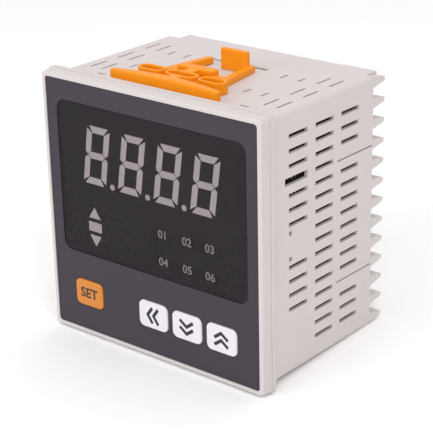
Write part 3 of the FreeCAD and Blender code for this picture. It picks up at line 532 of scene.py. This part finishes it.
def raised(name: str, outlines: Sequence[Outline], front_y: float,
           depth: float) -> bpy.types.Mesh:
    """Makes thin raised shapes on a plane that faces the front.

    Args:
        name: Name of the mesh.
        outlines: Closed outlines as (x, z) points, in metres.
        front_y: Place of their front faces along Y.
        depth: Their thickness.

    Returns:
        The mesh.
    """
    shape = bmesh.new()
    for outline in outlines:
        front = [shape.verts.new((x, front_y, z)) for x, z in outline]
        rear = [shape.verts.new((x, front_y + depth, z)) for x, z in outline]
        shape.faces.new(front)
        shape.faces.new(list(reversed(rear)))
        for i in range(len(outline)):
            j = (i + 1) % len(outline)
            shape.faces.new([front[j], front[i], rear[i], rear[j]])
    return to_mesh(name, shape)


def stroke(points: Sequence[Tuple[float, float]], width: float) -> Outline:
    """Turns a line of points into one bar of even width with a mitred joint.

    Args:
        points: The line, as (x, z).
        width: Width of the bar.

    Returns:
        Its outline.
    """
    normals = []
    for (x0, z0), (x1, z1) in zip(points, points[1:]):
        length = math.hypot(x1 - x0, z1 - z0)
        normals.append((-(z1 - z0) / length, (x1 - x0) / length))
    left: Outline = []
    right: Outline = []
    for i, (x, z) in enumerate(points):
        before = normals[max(0, i - 1)]
        after = normals[min(len(normals) - 1, i)]
        mid = (before[0] + after[0], before[1] + after[1])
        share = width / (mid[0] ** 2 + mid[1] ** 2)
        left.append((x + mid[0] * share, z + mid[1] * share))
        right.append((x - mid[0] * share, z - mid[1] * share))
    return left + list(reversed(right))


def words(text: str, size: float, depth: float, weight: float = 0.0) -> bpy.types.Mesh:
    """Makes plain lettering, centred on the origin and facing the front.

    Args:
        text: A generic word or number.
        size: Height of a capital, in metres.
        depth: Thickness, in metres.
        weight: How much each stroke is thickened, in metres.

    Returns:
        The mesh, standing in the XZ plane.
    """
    curve = bpy.data.curves.new("lettering_" + text, "FONT")
    curve.body = text
    curve.size = size / CAPITAL_SHARE
    curve.extrude = depth / 2
    curve.offset = weight / 2
    curve.align_x = "CENTER"
    curve.align_y = "CENTER"
    curve.resolution_u = 3
    mesh = evaluated(held("lettering_holder", curve))
    mesh.transform(Matrix.Rotation(math.pi / 2, 4, "X"))
    return mesh


# ---------------- sub-assemblies
@dataclass
class Mouldings:
    """The case with its thinned vent panels, and the sprung bracket with its soft edges.

    Attributes:
        wall: Thickness of the case's side walls.
        vent_wall: Thickness that is left where the side walls carry the vents.
        vent_y: Front and rear end of a thinned panel.
        vent_half: Half the height of a thinned panel.
        cover_gap: How far the case's side stands out beyond the rear cover's edge.
        overcut: How far a cutter reaches past the wall.
        pocket_edge: Rounding of a pocket's edges.
        grid: Size of the cells that round the bracket's edges.
        passes: How many times they are smoothed.
    """

    wall: float = 0.002
    vent_wall: float = 0.00135
    vent_y: Tuple[float, float] = (0.0094, 0.0496)
    vent_half: float = 0.0402
    cover_gap: float = 0.00015
    overcut: float = 0.001
    pocket_edge: float = 0.0003
    grid: float = 0.00024
    passes: int = 5

    def case(self) -> bpy.types.Object:
        """Thins both side walls from inside behind the vents.

        Returns:
            The piece that stands for the case.
        """
        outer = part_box("rear_cover")[1].z + self.cover_gap
        tools = []
        for side in (-1, 1):
            near, far = sorted((side * (outer - self.wall - self.overcut),
                                side * (outer - self.vent_wall)))
            pocket = rounded_box((near, self.vent_y[0], -self.vent_half),
                                 (far, self.vent_y[1], self.vent_half), self.pocket_edge)
            tools.append(to_mesh("pocket", pocket))
        holder = held("case_holder", bpy.data.objects["case"].data.copy())
        shape = bmesh.new()
        shape.from_mesh(carved(holder, tools))
        bmesh.ops.remove_doubles(shape, verts=shape.verts, dist=MERGE_DISTANCE)
        mesh = to_mesh("case_moulding", shape, smooth_below=30)
        piece = add_piece("case_moulding", mesh, CASE_GREY)
        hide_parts("case")
        return piece

    def bracket(self) -> bpy.types.Object:
        """Rounds every edge of the bracket.

        Returns:
            The piece that stands for the bracket.
        """
        holder = held("bracket_holder", bpy.data.objects["panel_bracket"].data.copy())
        cells = holder.modifiers.new("cells", "REMESH")
        cells.mode = "VOXEL"
        cells.voxel_size = self.grid
        cells.use_smooth_shade = True
        round_off = holder.modifiers.new("round", "SMOOTH")
        round_off.factor = 0.5
        round_off.iterations = self.passes
        piece = add_piece("bracket_moulding", evaluated(holder), BRACKET_ORANGE)
        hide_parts("panel_bracket")
        return piece

    def build(self) -> List[bpy.types.Object]:
        """Makes the case and the bracket."""
        return [self.case(), self.bracket()]


class Chevron(Enum):
    """Which way a key's double chevron points, as a turn in degrees."""

    UP = 0.0
    LEFT = 90.0
    DOWN = 180.0


@dataclass
class Keys:
    """The four keys and their printed symbols.

    Attributes:
        edge: Rounding of the caps' edges.
        print_depth: How far the print stands out of a cap.
        print_root: How far a symbol reaches into its cap.
        chevron_half: Half the width of a chevron.
        chevron_rise: How far its tip stands above its ends.
        chevron_step: Distance between the two chevrons.
        stroke_width: Width of the chevron's line.
        word_size: Height of the letters on the mode key.
        word_weight: Extra thickness of their strokes.
    """

    edge: float = 0.00018
    print_depth: float = 0.00004
    print_root: float = 0.00002
    chevron_half: float = 0.0029
    chevron_rise: float = 0.0021
    chevron_step: float = 0.0026
    stroke_width: float = 0.00115
    word_size: float = 0.0037
    word_weight: float = 0.00022
    symbols: Dict[str, Chevron] = field(default_factory=lambda: {
        "shift_key": Chevron.LEFT, "down_key": Chevron.DOWN, "up_key": Chevron.UP})

    def cap(self, node: str) -> bpy.types.Object:
        """Replaces one key's cap with a rounded one.

        Args:
            node: The key's CAD node.

        Returns:
            The cap.
        """
        piece = add_piece(node + "_cap", softened(node, self.edge), NODE_FINISH[node],
                          node + "_body")
        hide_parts(node)
        return piece

    def symbol(self, node: str, way: Chevron) -> bpy.types.Object:
        """Prints a double chevron on one key.

        Args:
            node: The key's CAD node.
            way: Which way the chevrons point.

        Returns:
            The printed piece.
        """
        low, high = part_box(node)
        centre = (low + high) / 2
        angle = math.radians(way.value)
        outlines: List[Outline] = []
        for shift in (-self.chevron_step / 2, self.chevron_step / 2):
            base = shift - self.chevron_rise / 2
            line = [(-self.chevron_half, base), (0.0, base + self.chevron_rise),
                    (self.chevron_half, base)]
            turned = [(centre.x + u * math.cos(angle) - v * math.sin(angle),
                       centre.z + u * math.sin(angle) + v * math.cos(angle)) for u, v in line]
            outlines.append(stroke(turned, self.stroke_width))
        mesh = raised(node + "_symbol", outlines, low.y - self.print_depth,
                      self.print_depth + self.print_root)
        return add_piece(node + "_symbol", mesh, PRINT_BLACK, node + "_body")

    def word(self, node: str, text: str) -> bpy.types.Object:
        """Prints a generic word on one key.

        Args:
            node: The key's CAD node.
            text: The word.

        Returns:
            The printed piece.
        """
        low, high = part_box(node)
        centre = (low + high) / 2
        mesh = words(text, self.word_size, 2 * self.print_depth, self.word_weight)
        mesh.transform(Matrix.Translation((centre.x, low.y, centre.z)))
        return add_piece(node + "_word", mesh, PRINT_BLACK, node + "_body")

    def build(self) -> List[bpy.types.Object]:
        """Makes every cap and its print.

        Returns:
            The pieces.
        """
        made = [self.cap(node) for node in ("mode_key", *self.symbols)]
        made.extend(self.symbol(node, way) for node, way in self.symbols.items())
        made.append(self.word("mode_key", "SET"))
        return made


@dataclass
class Display:
    """The bead round the window and the plain numbers printed on the six indicator lenses.

    Attributes:
        corner: Corner radius of the window.
        bead: Half the width of the dark bead that closes the gap round the window.
        recess: How far the bead's front lies behind the window's.
        mask: Width of the black border that is printed on the rear of the window.
        mask_cover: How far that border lies in front of the window's rear face.
        number_size: Height of a number.
        number_weight: Extra thickness of its strokes.
        print_depth: Thickness of the print behind the window.
        columns: Centres of the lenses across.
        lens_half: Half the height of a lens.
    """

    corner: float = 0.0038
    bead: float = 0.00012
    recess: float = 0.00012
    mask: float = 0.0009
    mask_cover: float = 0.00001
    number_size: float = 0.0030
    number_weight: float = 0.00014
    print_depth: float = 0.00003
    columns: Tuple[float, ...] = (0.0048, 0.0153, 0.0251)
    lens_half: float = 0.0019

    def outline(self, grow: float, steps: int = 10) -> Outline:
        """Outline of the window, larger by a margin all round.

        Args:
            grow: The margin, in metres.
            steps: Facets in each corner.

        Returns:
            The closed outline as (x, z) points.
        """
        low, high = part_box("display_window")
        radius = self.corner + grow
        points: Outline = []
        for corner, (x, z) in enumerate(((high.x, high.z), (low.x, high.z),
                                         (low.x, low.z), (high.x, low.z))):
            side_x, side_z = (1 if x > 0 else -1), (1 if z > 0 else -1)
            for i in range(steps + 1):
                turn = math.pi / 2 * (corner + i / steps)
                points.append((x - side_x * self.corner + radius * math.cos(turn),
                               z - side_z * self.corner + radius * math.sin(turn)))
        return points

    def border(self) -> bpy.types.Object:
        """Lays the dark bead round the window and the black border on its rear.

        Returns:
            The bead and border, as one piece.
        """
        low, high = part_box("display_window")
        front, rear = low.y + self.recess, high.y - self.mask_cover
        shape = bmesh.new()
        rings = [[shape.verts.new((x, y, z)) for x, z in self.outline(grow)]
                 for grow, y in ((-self.bead, front), (self.bead, front),
                                 (self.bead, rear), (-self.mask, rear),
                                 (-self.mask, rear - self.print_depth),
                                 (-self.bead, rear - self.print_depth))]
        count = len(rings[0])
        for inner, outer in zip(rings, rings[1:] + rings[:1]):
            for i in range(count):
                j = (i + 1) % count
                shape.faces.new([inner[i], inner[j], outer[j], outer[i]])
        return add_piece("window_bead", to_mesh("window_bead", shape), REFLECTOR)

    def numbers(self) -> bpy.types.Object:
        """Prints a number on the front of each indicator's lens.

        Returns:
            The numbers, as one piece.
        """
        low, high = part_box("indicator_lenses")
        rows = (high.z - self.lens_half, low.z + self.lens_half)
        places = [(x, z) for z in rows for x in self.columns]
        parts = []
        for count, (x, z) in enumerate(places, 1):
            mesh = words(f"{count:02d}", self.number_size, self.print_depth,
                         self.number_weight)
            parts.append((mesh, Matrix.Translation((x, low.y, z))))
        return add_piece("indicator_numbers", joined("indicator_numbers", parts), PRINT_GREY)

    def build(self) -> List[bpy.types.Object]:
        """Makes the bead and the numbers."""
        return [self.border(), self.numbers()]


@dataclass(frozen=True)
class Ribs:
    """The clamping ribs along the right edge of a washer.

    Attributes:
        count: How many there are.
        inset: Distance of the first from the washer's edge.
        step: Distance from one to the next.
        half: Half the width of a rib.
        sink: How far a rib reaches into the washer.
        rise: How far it stands out.
        share: Its length as a share of the washer's side.
        edge: Rounding of its edges.
    """

    count: int = 3
    inset: float = 0.00035
    step: float = 0.0004
    half: float = 0.0001
    sink: float = 0.00005
    rise: float = 0.00008
    share: float = 0.86
    edge: float = 0.00004


@dataclass
class Terminals:
    """Slotted terminal screws with their clamp washers, and the moulded numbers.

    Attributes:
        count: How many terminals there are.
        washer: Thickness of a clamp washer.
        washer_edge: Rounding of its edges.
        ribs: Its clamping ribs.
        head_radius: Radius of a screw's head.
        head_edge: Rounding of the head's rim.
        rim_drop: How far the rim lies below the top.
        dome: Points of the top, as a share of the radius and the drop below the top.
        shank_radius: Radius over the thread.
        shank_lap: How far the shank reaches into the head.
        thread_pitch: Pitch of the thread.
        thread_depth: Depth of the thread.
        tip_length: Length of the tapered tip.
        tip_share: Radius of its end as a share of the thread's root.
        slot: Width of the driver slot.
        slot_depth: Its depth.
        slot_edge: Rounding of its edges.
        slot_reach: Half the slot's length, as a share of the head's radius.
        cross_reach: The same for the short cross.
        overcut: How far a cutter stands out of the head.
        turns: Step and start of the angles at which the slots came to rest, in degrees.
        number_size: Height of a terminal number.
        number_rise: How far it stands out of the cover.
        number_weight: Extra thickness of its strokes.
        number_inset: How far the numbers stand left of the barriers' roots.
        barrier_rise: How far the barriers stand out beyond the cover's raised part.
    """

    count: int = 12
    washer: float = 0.0007
    washer_edge: float = 0.00015
    ribs: Ribs = Ribs()
    head_radius: float = 0.0025
    head_edge: float = 0.0004
    rim_drop: float = 0.00016
    dome: Outline = field(default_factory=lambda: [(0.5, 0.00005), (0.12, 0.0)])
    shank_radius: float = 0.0015
    shank_lap: float = 0.0001
    thread_pitch: float = 0.0007
    thread_depth: float = 0.00022
    tip_length: float = 0.0003
    tip_share: float = 0.75
    slot: float = 0.0007
    slot_depth: float = 0.0008
    slot_edge: float = 0.00008
    slot_reach: float = 1.3
    cross_reach: float = 0.55
    overcut: float = 0.001
    turns: Tuple[float, float] = (17.0, -60.0)
    number_size: float = 0.0026
    number_rise: float = 0.0003
    number_weight: float = 0.0002
    number_inset: float = 0.0036
    barrier_rise: float = 0.0006

    def head_mesh(self, seat: float, top: float) -> bpy.types.Mesh:
        """Turns one domed head and cuts a slot and a short cross into it.

        Args:
            seat: Place of its underside along Y.
            top: Place of its top along Y.

        Returns:
            The head, on the Y axis.
        """
        radius, soft = self.head_radius, self.head_edge
        profile = [(radius, seat)]
        for step in range(5):
            turn = math.pi / 2 * step / 4
            profile.append((radius - soft + soft * math.cos(turn),
                            top - self.rim_drop - soft + soft * math.sin(turn)))
        profile.extend((radius * share, top - drop) for share, drop in self.dome)
        head = held("screw_head", to_mesh("screw_head", lathe(profile, 40), smooth_below=40))
        tools = []
        for x, z in ((radius * self.slot_reach, self.slot / 2),
                     (self.slot / 2, radius * self.cross_reach)):
            groove = rounded_box((-x, top - self.slot_depth, -z),
                                 (x, top + self.overcut, z), self.slot_edge)
            tools.append(to_mesh("groove", groove))
        return carved(head, tools)

    def shank_mesh(self, tip: float, seat: float) -> bpy.types.Mesh:
        """Turns one threaded shank.

        Args:
            tip: Place of its end along Y.
            seat: Place where it meets the head.

        Returns:
            The shank, on the Y axis.
        """
        root = self.shank_radius - self.thread_depth
        y = tip + self.tip_length
        profile = [(root * self.tip_share, tip), (root, y)]
        while y + self.thread_pitch < seat:
            profile.extend([(self.shank_radius, y + self.thread_pitch / 2),
                            (root, y + self.thread_pitch)])
            y += self.thread_pitch
        profile.append((root, seat))
        return to_mesh("screw_shank", lathe(profile, 20), smooth_below=50)

    def washer_mesh(self, low_y: float, half: float) -> bpy.types.Mesh:
        """Makes one square washer with rounded edges and a ribbed clamping end.

        Args:
            low_y: Place of its underside along Y.
            half: Half its side.

        Returns:
            The washer, centred on the Y axis.
        """
        ribs, top = self.ribs, low_y + self.washer
        plate = rounded_box((-half, low_y, -half), (half, top, half), self.washer_edge)
        parts = [to_mesh("washer", plate)]
        for step in range(ribs.count):
            x, reach = half - ribs.inset - ribs.step * step, half * ribs.share
            rib = rounded_box((x - ribs.half, top - ribs.sink, -reach),
                              (x + ribs.half, top + ribs.rise, reach), ribs.edge, 1)
            parts.append(to_mesh("rib", rib))
        return joined("washer", [(part, Matrix()) for part in parts])

    def spacing(self) -> Tuple[float, float]:
        """Measures the column of screws.

        Returns:
            Half the side of a washer, and the distance from one screw to the next.
        """
        low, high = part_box("terminal_screws")
        half = (high.x - low.x) / 2
        return half, (high.z - low.z - 2 * half) / (self.count - 1)

    def screws(self) -> bpy.types.Object:
        """Puts a detailed screw at each terminal, its slot turned unlike its neighbours'.

        Returns:
            The screws, as one piece.
        """
        low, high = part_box("terminal_screws")
        half, step = self.spacing()
        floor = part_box("terminal_plates")[1].y
        head = self.head_mesh(floor + self.washer, high.y)
        shank = self.shank_mesh(low.y, floor + self.shank_lap)
        washer = self.washer_mesh(floor, half)
        parts = []
        for i in range(self.count):
            place = Matrix.Translation((low.x + half, 0, low.z + half + step * i))
            angle = math.radians(self.turns[0] * (i * 5 % 9) + self.turns[1])
            turned = place @ Matrix.Rotation(angle, 4, "Y")
            parts.extend([(head, turned), (shank, turned), (washer, place)])
        mesh = joined("slotted_terminal_screws", parts)
        piece = add_piece("slotted_terminal_screws", mesh, STEEL)
        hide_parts("terminal_screws")
        return piece

    def numbers(self) -> bpy.types.Object:
        """Raises a plain number beside each terminal on the rear cover.

        Returns:
            The numbers, as one piece.
        """
        half, step = self.spacing()
        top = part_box("terminal_screws")[1].z
        face_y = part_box("rear_cover")[1].y - self.barrier_rise
        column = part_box("terminal_block")[0].x - self.number_inset
        around = Matrix.Rotation(math.pi, 4, "Z")
        parts = []
        for i in range(self.count):
            mesh = words(str(i + 1), self.number_size, self.number_rise * 2,
                         self.number_weight)
            place = Matrix.Translation((column, face_y, top - half - step * i)) @ around
            parts.append((mesh, place))
        return add_piece("terminal_numbers", joined("terminal_numbers", parts), CASE_GREY)

    def build(self) -> List[bpy.types.Object]:
        """Makes the screws and the numbers."""
        return [self.screws(), self.numbers()]


@dataclass
class BoardParts:
    """Small surface parts on the two side boards, seen faintly through the vents.

    Attributes:
        size: Length, width and height of a part.
        column_step: Distance between two columns of parts along the board.
        row_step: Distance between two rows.
        rim: Bare strip along a board's edges.
        edge: Rounding of a part's edges.
        body_share: Share of a part's length that its dark body covers.
        body_swell: How much thicker and wider than the metal ends the body is.
        end_swell: How far the metal ends stand out all round.
    """

    size: Point = (0.002, 0.00125, 0.00055)
    column_step: float = 0.0062
    row_step: float = 0.0058
    rim: float = 0.004
    edge: float = 0.00006
    body_share: float = 0.74
    body_swell: Tuple[float, float] = (1.04, 1.02)
    end_swell: float = 0.00002

    def part(self, share: float) -> bpy.types.Mesh:
        """Makes one chip part, or one of its metal ends.

        Args:
            share: Share of the length that it covers from the middle.

        Returns:
            The mesh, lying on the YZ plane with its length along Y.
        """
        half = [s / 2 for s in self.size]
        reach = half[0] * share
        swell = self.end_swell if share == 1.0 else 0.0
        low = (0.0, -reach, -half[1] - swell)
        high = (self.size[2] + swell, reach, half[1] + swell)
        return to_mesh("chip_part", rounded_box(low, high, self.edge, 1))

    def on_board(self, node: str, side: int) -> List[bpy.types.Object]:
        """Lays rows of parts on the outer face of one board.

        Args:
            node: The board's CAD node.
            side: 1 for the face towards +X, -1 for the other.

        Returns:
            The parts' bodies and their soldered ends.
        """
        low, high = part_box(node)
        face = high.x if side > 0 else low.x
        bodies, ends = [], []
        dark, bright = self.part(self.body_share), self.part(1.0)
        swell = Matrix.Diagonal((self.body_swell[0], 1, self.body_swell[1], 1))
        turn = Matrix.Diagonal((side, 1, 1, 1))
        rows = int((high.z - low.z - 2 * self.rim) / self.row_step)
        columns = int((high.y - low.y - 2 * self.rim) / self.column_step)
        for row in range(rows):
            for column in range(columns):
                if (row * 7 + column * 3) % 4 == 0:
                    continue
                y = low.y + self.rim + self.column_step * (column + 0.5)
                z = low.z + self.rim + self.row_step * (row + 0.5)
                place = Matrix.Translation((face, y, z)) @ turn
                bodies.append((dark, place @ swell))
                ends.append((bright, place))
        return [add_piece(name, joined(name, parts), finish) for name, parts, finish in (
            (node + "_chip_parts", bodies, CHIP_BLACK), (node + "_solder_ends", ends, STEEL))]

    def build(self) -> List[bpy.types.Object]:
        """Fits out the main board and the power board."""
        return self.on_board("main_board", -1) + self.on_board("power_board", 1)


# ---------------- studio
@dataclass
class Studio:
    """Floor, lamps, world and camera.

    Attributes:
        azimuth: How far the camera stands to the right of the front, in degrees.
        elevation: How far it looks down, in degrees.
        roll: Its roll, in degrees.
        lens: Focal length in millimetres on a 36 mm sensor.
        offset: Place of the frame's origin in the camera's axes, in metres.
        rest_tilt: Tilt of the floor under the object, in degrees: it stands on the
            flange's lower edge and on the case's rear edge.
        floor_size: Side of the floor.
        ambient: Strength of the even light from all round.
        aim: Where the lamps point.
        lamps: Place, side in metres and power in watts of each lamp.
    """

    azimuth: float = 39.952
    elevation: float = 21.735
    roll: float = -1.263
    lens: float = 126.1
    offset: Point = (-0.018366, -0.002836, 0.508738)
    rest_tilt: float = 2.2
    floor_size: float = 4.0
    ambient: float = 0.55
    aim: Point = (0.0, 0.03, 0.0)
    lamps: Dict[str, Tuple[Point, float, float]] = field(default_factory=lambda: {
        "key_lamp": ((0.9, -0.7, 1.1), 0.9, 9.0),
        "front_lamp": ((-0.5, -1.2, 0.6), 1.0, 7.0),
        "top_lamp": ((0.0, 0.3, 1.5), 1.2, 6.0)})

    def camera(self) -> bpy.types.Object:
        """Places the camera.

        Returns:
            The camera, which the scene then uses.
        """
        turn, rise, roll = (math.radians(v) for v in (self.azimuth, self.elevation, self.roll))
        forward = Vector((-math.sin(turn) * math.cos(rise), math.cos(turn) * math.cos(rise),
                          -math.sin(rise)))
        right = Vector((math.cos(turn), math.sin(turn), 0.0))
        up = right.cross(forward)
        rolled_right = right * math.cos(roll) + up * math.sin(roll)
        rolled_up = up * math.cos(roll) - right * math.sin(roll)
        place = -(rolled_right * self.offset[0] + rolled_up * self.offset[1]
                  + forward * self.offset[2])
        data = bpy.data.cameras.new("camera")
        data.sensor_width = 36.0
        data.lens = self.lens
        data.clip_start = 0.01
        data.clip_end = 20.0
        camera = bpy.data.objects.new("camera", data)
        matrix = Matrix((rolled_right, rolled_up, -forward)).transposed().to_4x4()
        matrix.translation = place
        camera.matrix_world = matrix
        bpy.context.scene.collection.objects.link(camera)
        bpy.context.scene.camera = camera
        return camera

    def lamp(self, name: str, place: Point, size: float, power: float) -> None:
        """Adds one soft area lamp aimed at the object.

        Args:
            name: Name of the lamp.
            place: Where it stands.
            size: Its side, in metres.
            power: Its power, in watts.
        """
        data = bpy.data.lights.new(name, "AREA")
        data.shape = "SQUARE"
        data.size = size
        data.energy = power
        lamp = bpy.data.objects.new(name, data)
        lamp.location = place
        aim = Vector(self.aim) - Vector(place)
        lamp.rotation_euler = aim.to_track_quat("-Z", "Y").to_euler()
        bpy.context.scene.collection.objects.link(lamp)

    def seen(self, tree: bpy.types.NodeTree) -> bpy.types.NodeSocket:
        """Adds a mask that is 1 for rays from the eye, from gloss and through glass.

        Args:
            tree: The nodes of a material or the world.

        Returns:
            The mask.
        """
        path = tree.nodes.new("ShaderNodeLightPath")
        total = path.outputs["Is Camera Ray"]
        for name in ("Is Glossy Ray", "Is Transmission Ray"):
            node = calculated(tree, "ADD", total, path.outputs[name])
            node.use_clamp = True
            total = node.outputs["Value"]
        return total

    def floor(self, height: float) -> bpy.types.Object:
        """Lays a white floor, whose shadow shows, under the object.

        Args:
            height: Height of the flange's lower edge.

        Returns:
            The floor.
        """
        half = self.floor_size / 2
        mesh = bpy.data.meshes.new("floor")
        corners = [(-half, -half, 0), (half, -half, 0), (half, half, 0), (-half, half, 0)]
        mesh.from_pydata(corners, [], [(0, 1, 2, 3)])
        floor = bpy.data.objects.new("floor", mesh)
        floor.rotation_euler = (math.radians(self.rest_tilt), 0, 0)
        floor.location = (0, 0, height)
        bpy.context.scene.collection.objects.link(floor)
        material = bpy.data.materials.new("floor_white")
        material.use_nodes = True
        tree = material.node_tree
        shader = tree.nodes["Principled BSDF"]
        shader.inputs["Base Color"].default_value = (1, 1, 1, 1)
        shader.inputs["Roughness"].default_value = 0.9
        shader.inputs["Specular IOR Level"].default_value = 0.1
        floor.data.materials.append(material)
        return floor

    def world(self) -> None:
        """Lights the object evenly, with a white backdrop."""
        world = bpy.data.worlds.new("world")
        bpy.context.scene.world = world
        world.use_nodes = True
        tree = world.node_tree
        tree.nodes.clear()
        output = tree.nodes.new("ShaderNodeOutputWorld")
        mix = tree.nodes.new("ShaderNodeMixShader")
        tree.links.new(self.seen(tree), mix.inputs["Fac"])
        for strength, socket in ((self.ambient, mix.inputs[1]), (1.0, mix.inputs[2])):
            light = tree.nodes.new("ShaderNodeBackground")
            light.inputs["Color"].default_value = (1, 1, 1, 1)
            light.inputs["Strength"].default_value = strength
            tree.links.new(light.outputs["Background"], socket)
        tree.links.new(mix.outputs["Shader"], output.inputs["Surface"])

    def build(self) -> List[bpy.types.Object]:
        """Sets up the whole studio.

        Returns:
            The camera and the floor.
        """
        bpy.context.scene.view_settings.view_transform = "Standard"
        camera = self.camera()
        self.world()
        for name, (place, size, power) in self.lamps.items():
            self.lamp(name, place, size, power)
        return [camera, self.floor(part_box("case")[0].z)]


def report(title: str, pieces: Sequence[bpy.types.Object]) -> None:
    """Logs each piece that a sub-assembly made.

    Args:
        title: Name of the sub-assembly.
        pieces: Its pieces.
    """
    for piece in pieces:
        size = len(piece.data.polygons) if piece.type == "MESH" else 0
        LOG.info("%s: %s, %d faces", title, piece.name, size)


def main() -> None:
    """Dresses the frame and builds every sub-assembly round it."""
    logging.basicConfig(level=logging.INFO)
    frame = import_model()
    for node, piece in frame["nodes"].items():
        piece.data.materials.clear()
        piece.data.materials.append(NODE_FINISH[node].material())
    report("frame", list(frame["nodes"].values()))
    for title, maker in (("mouldings", Mouldings()), ("keys", Keys()), ("display", Display()),
                         ("terminals", Terminals()), ("boards", BoardParts()),
                         ("studio", Studio())):
        report(title, maker.build())


if __name__ == "__main__":
    main()
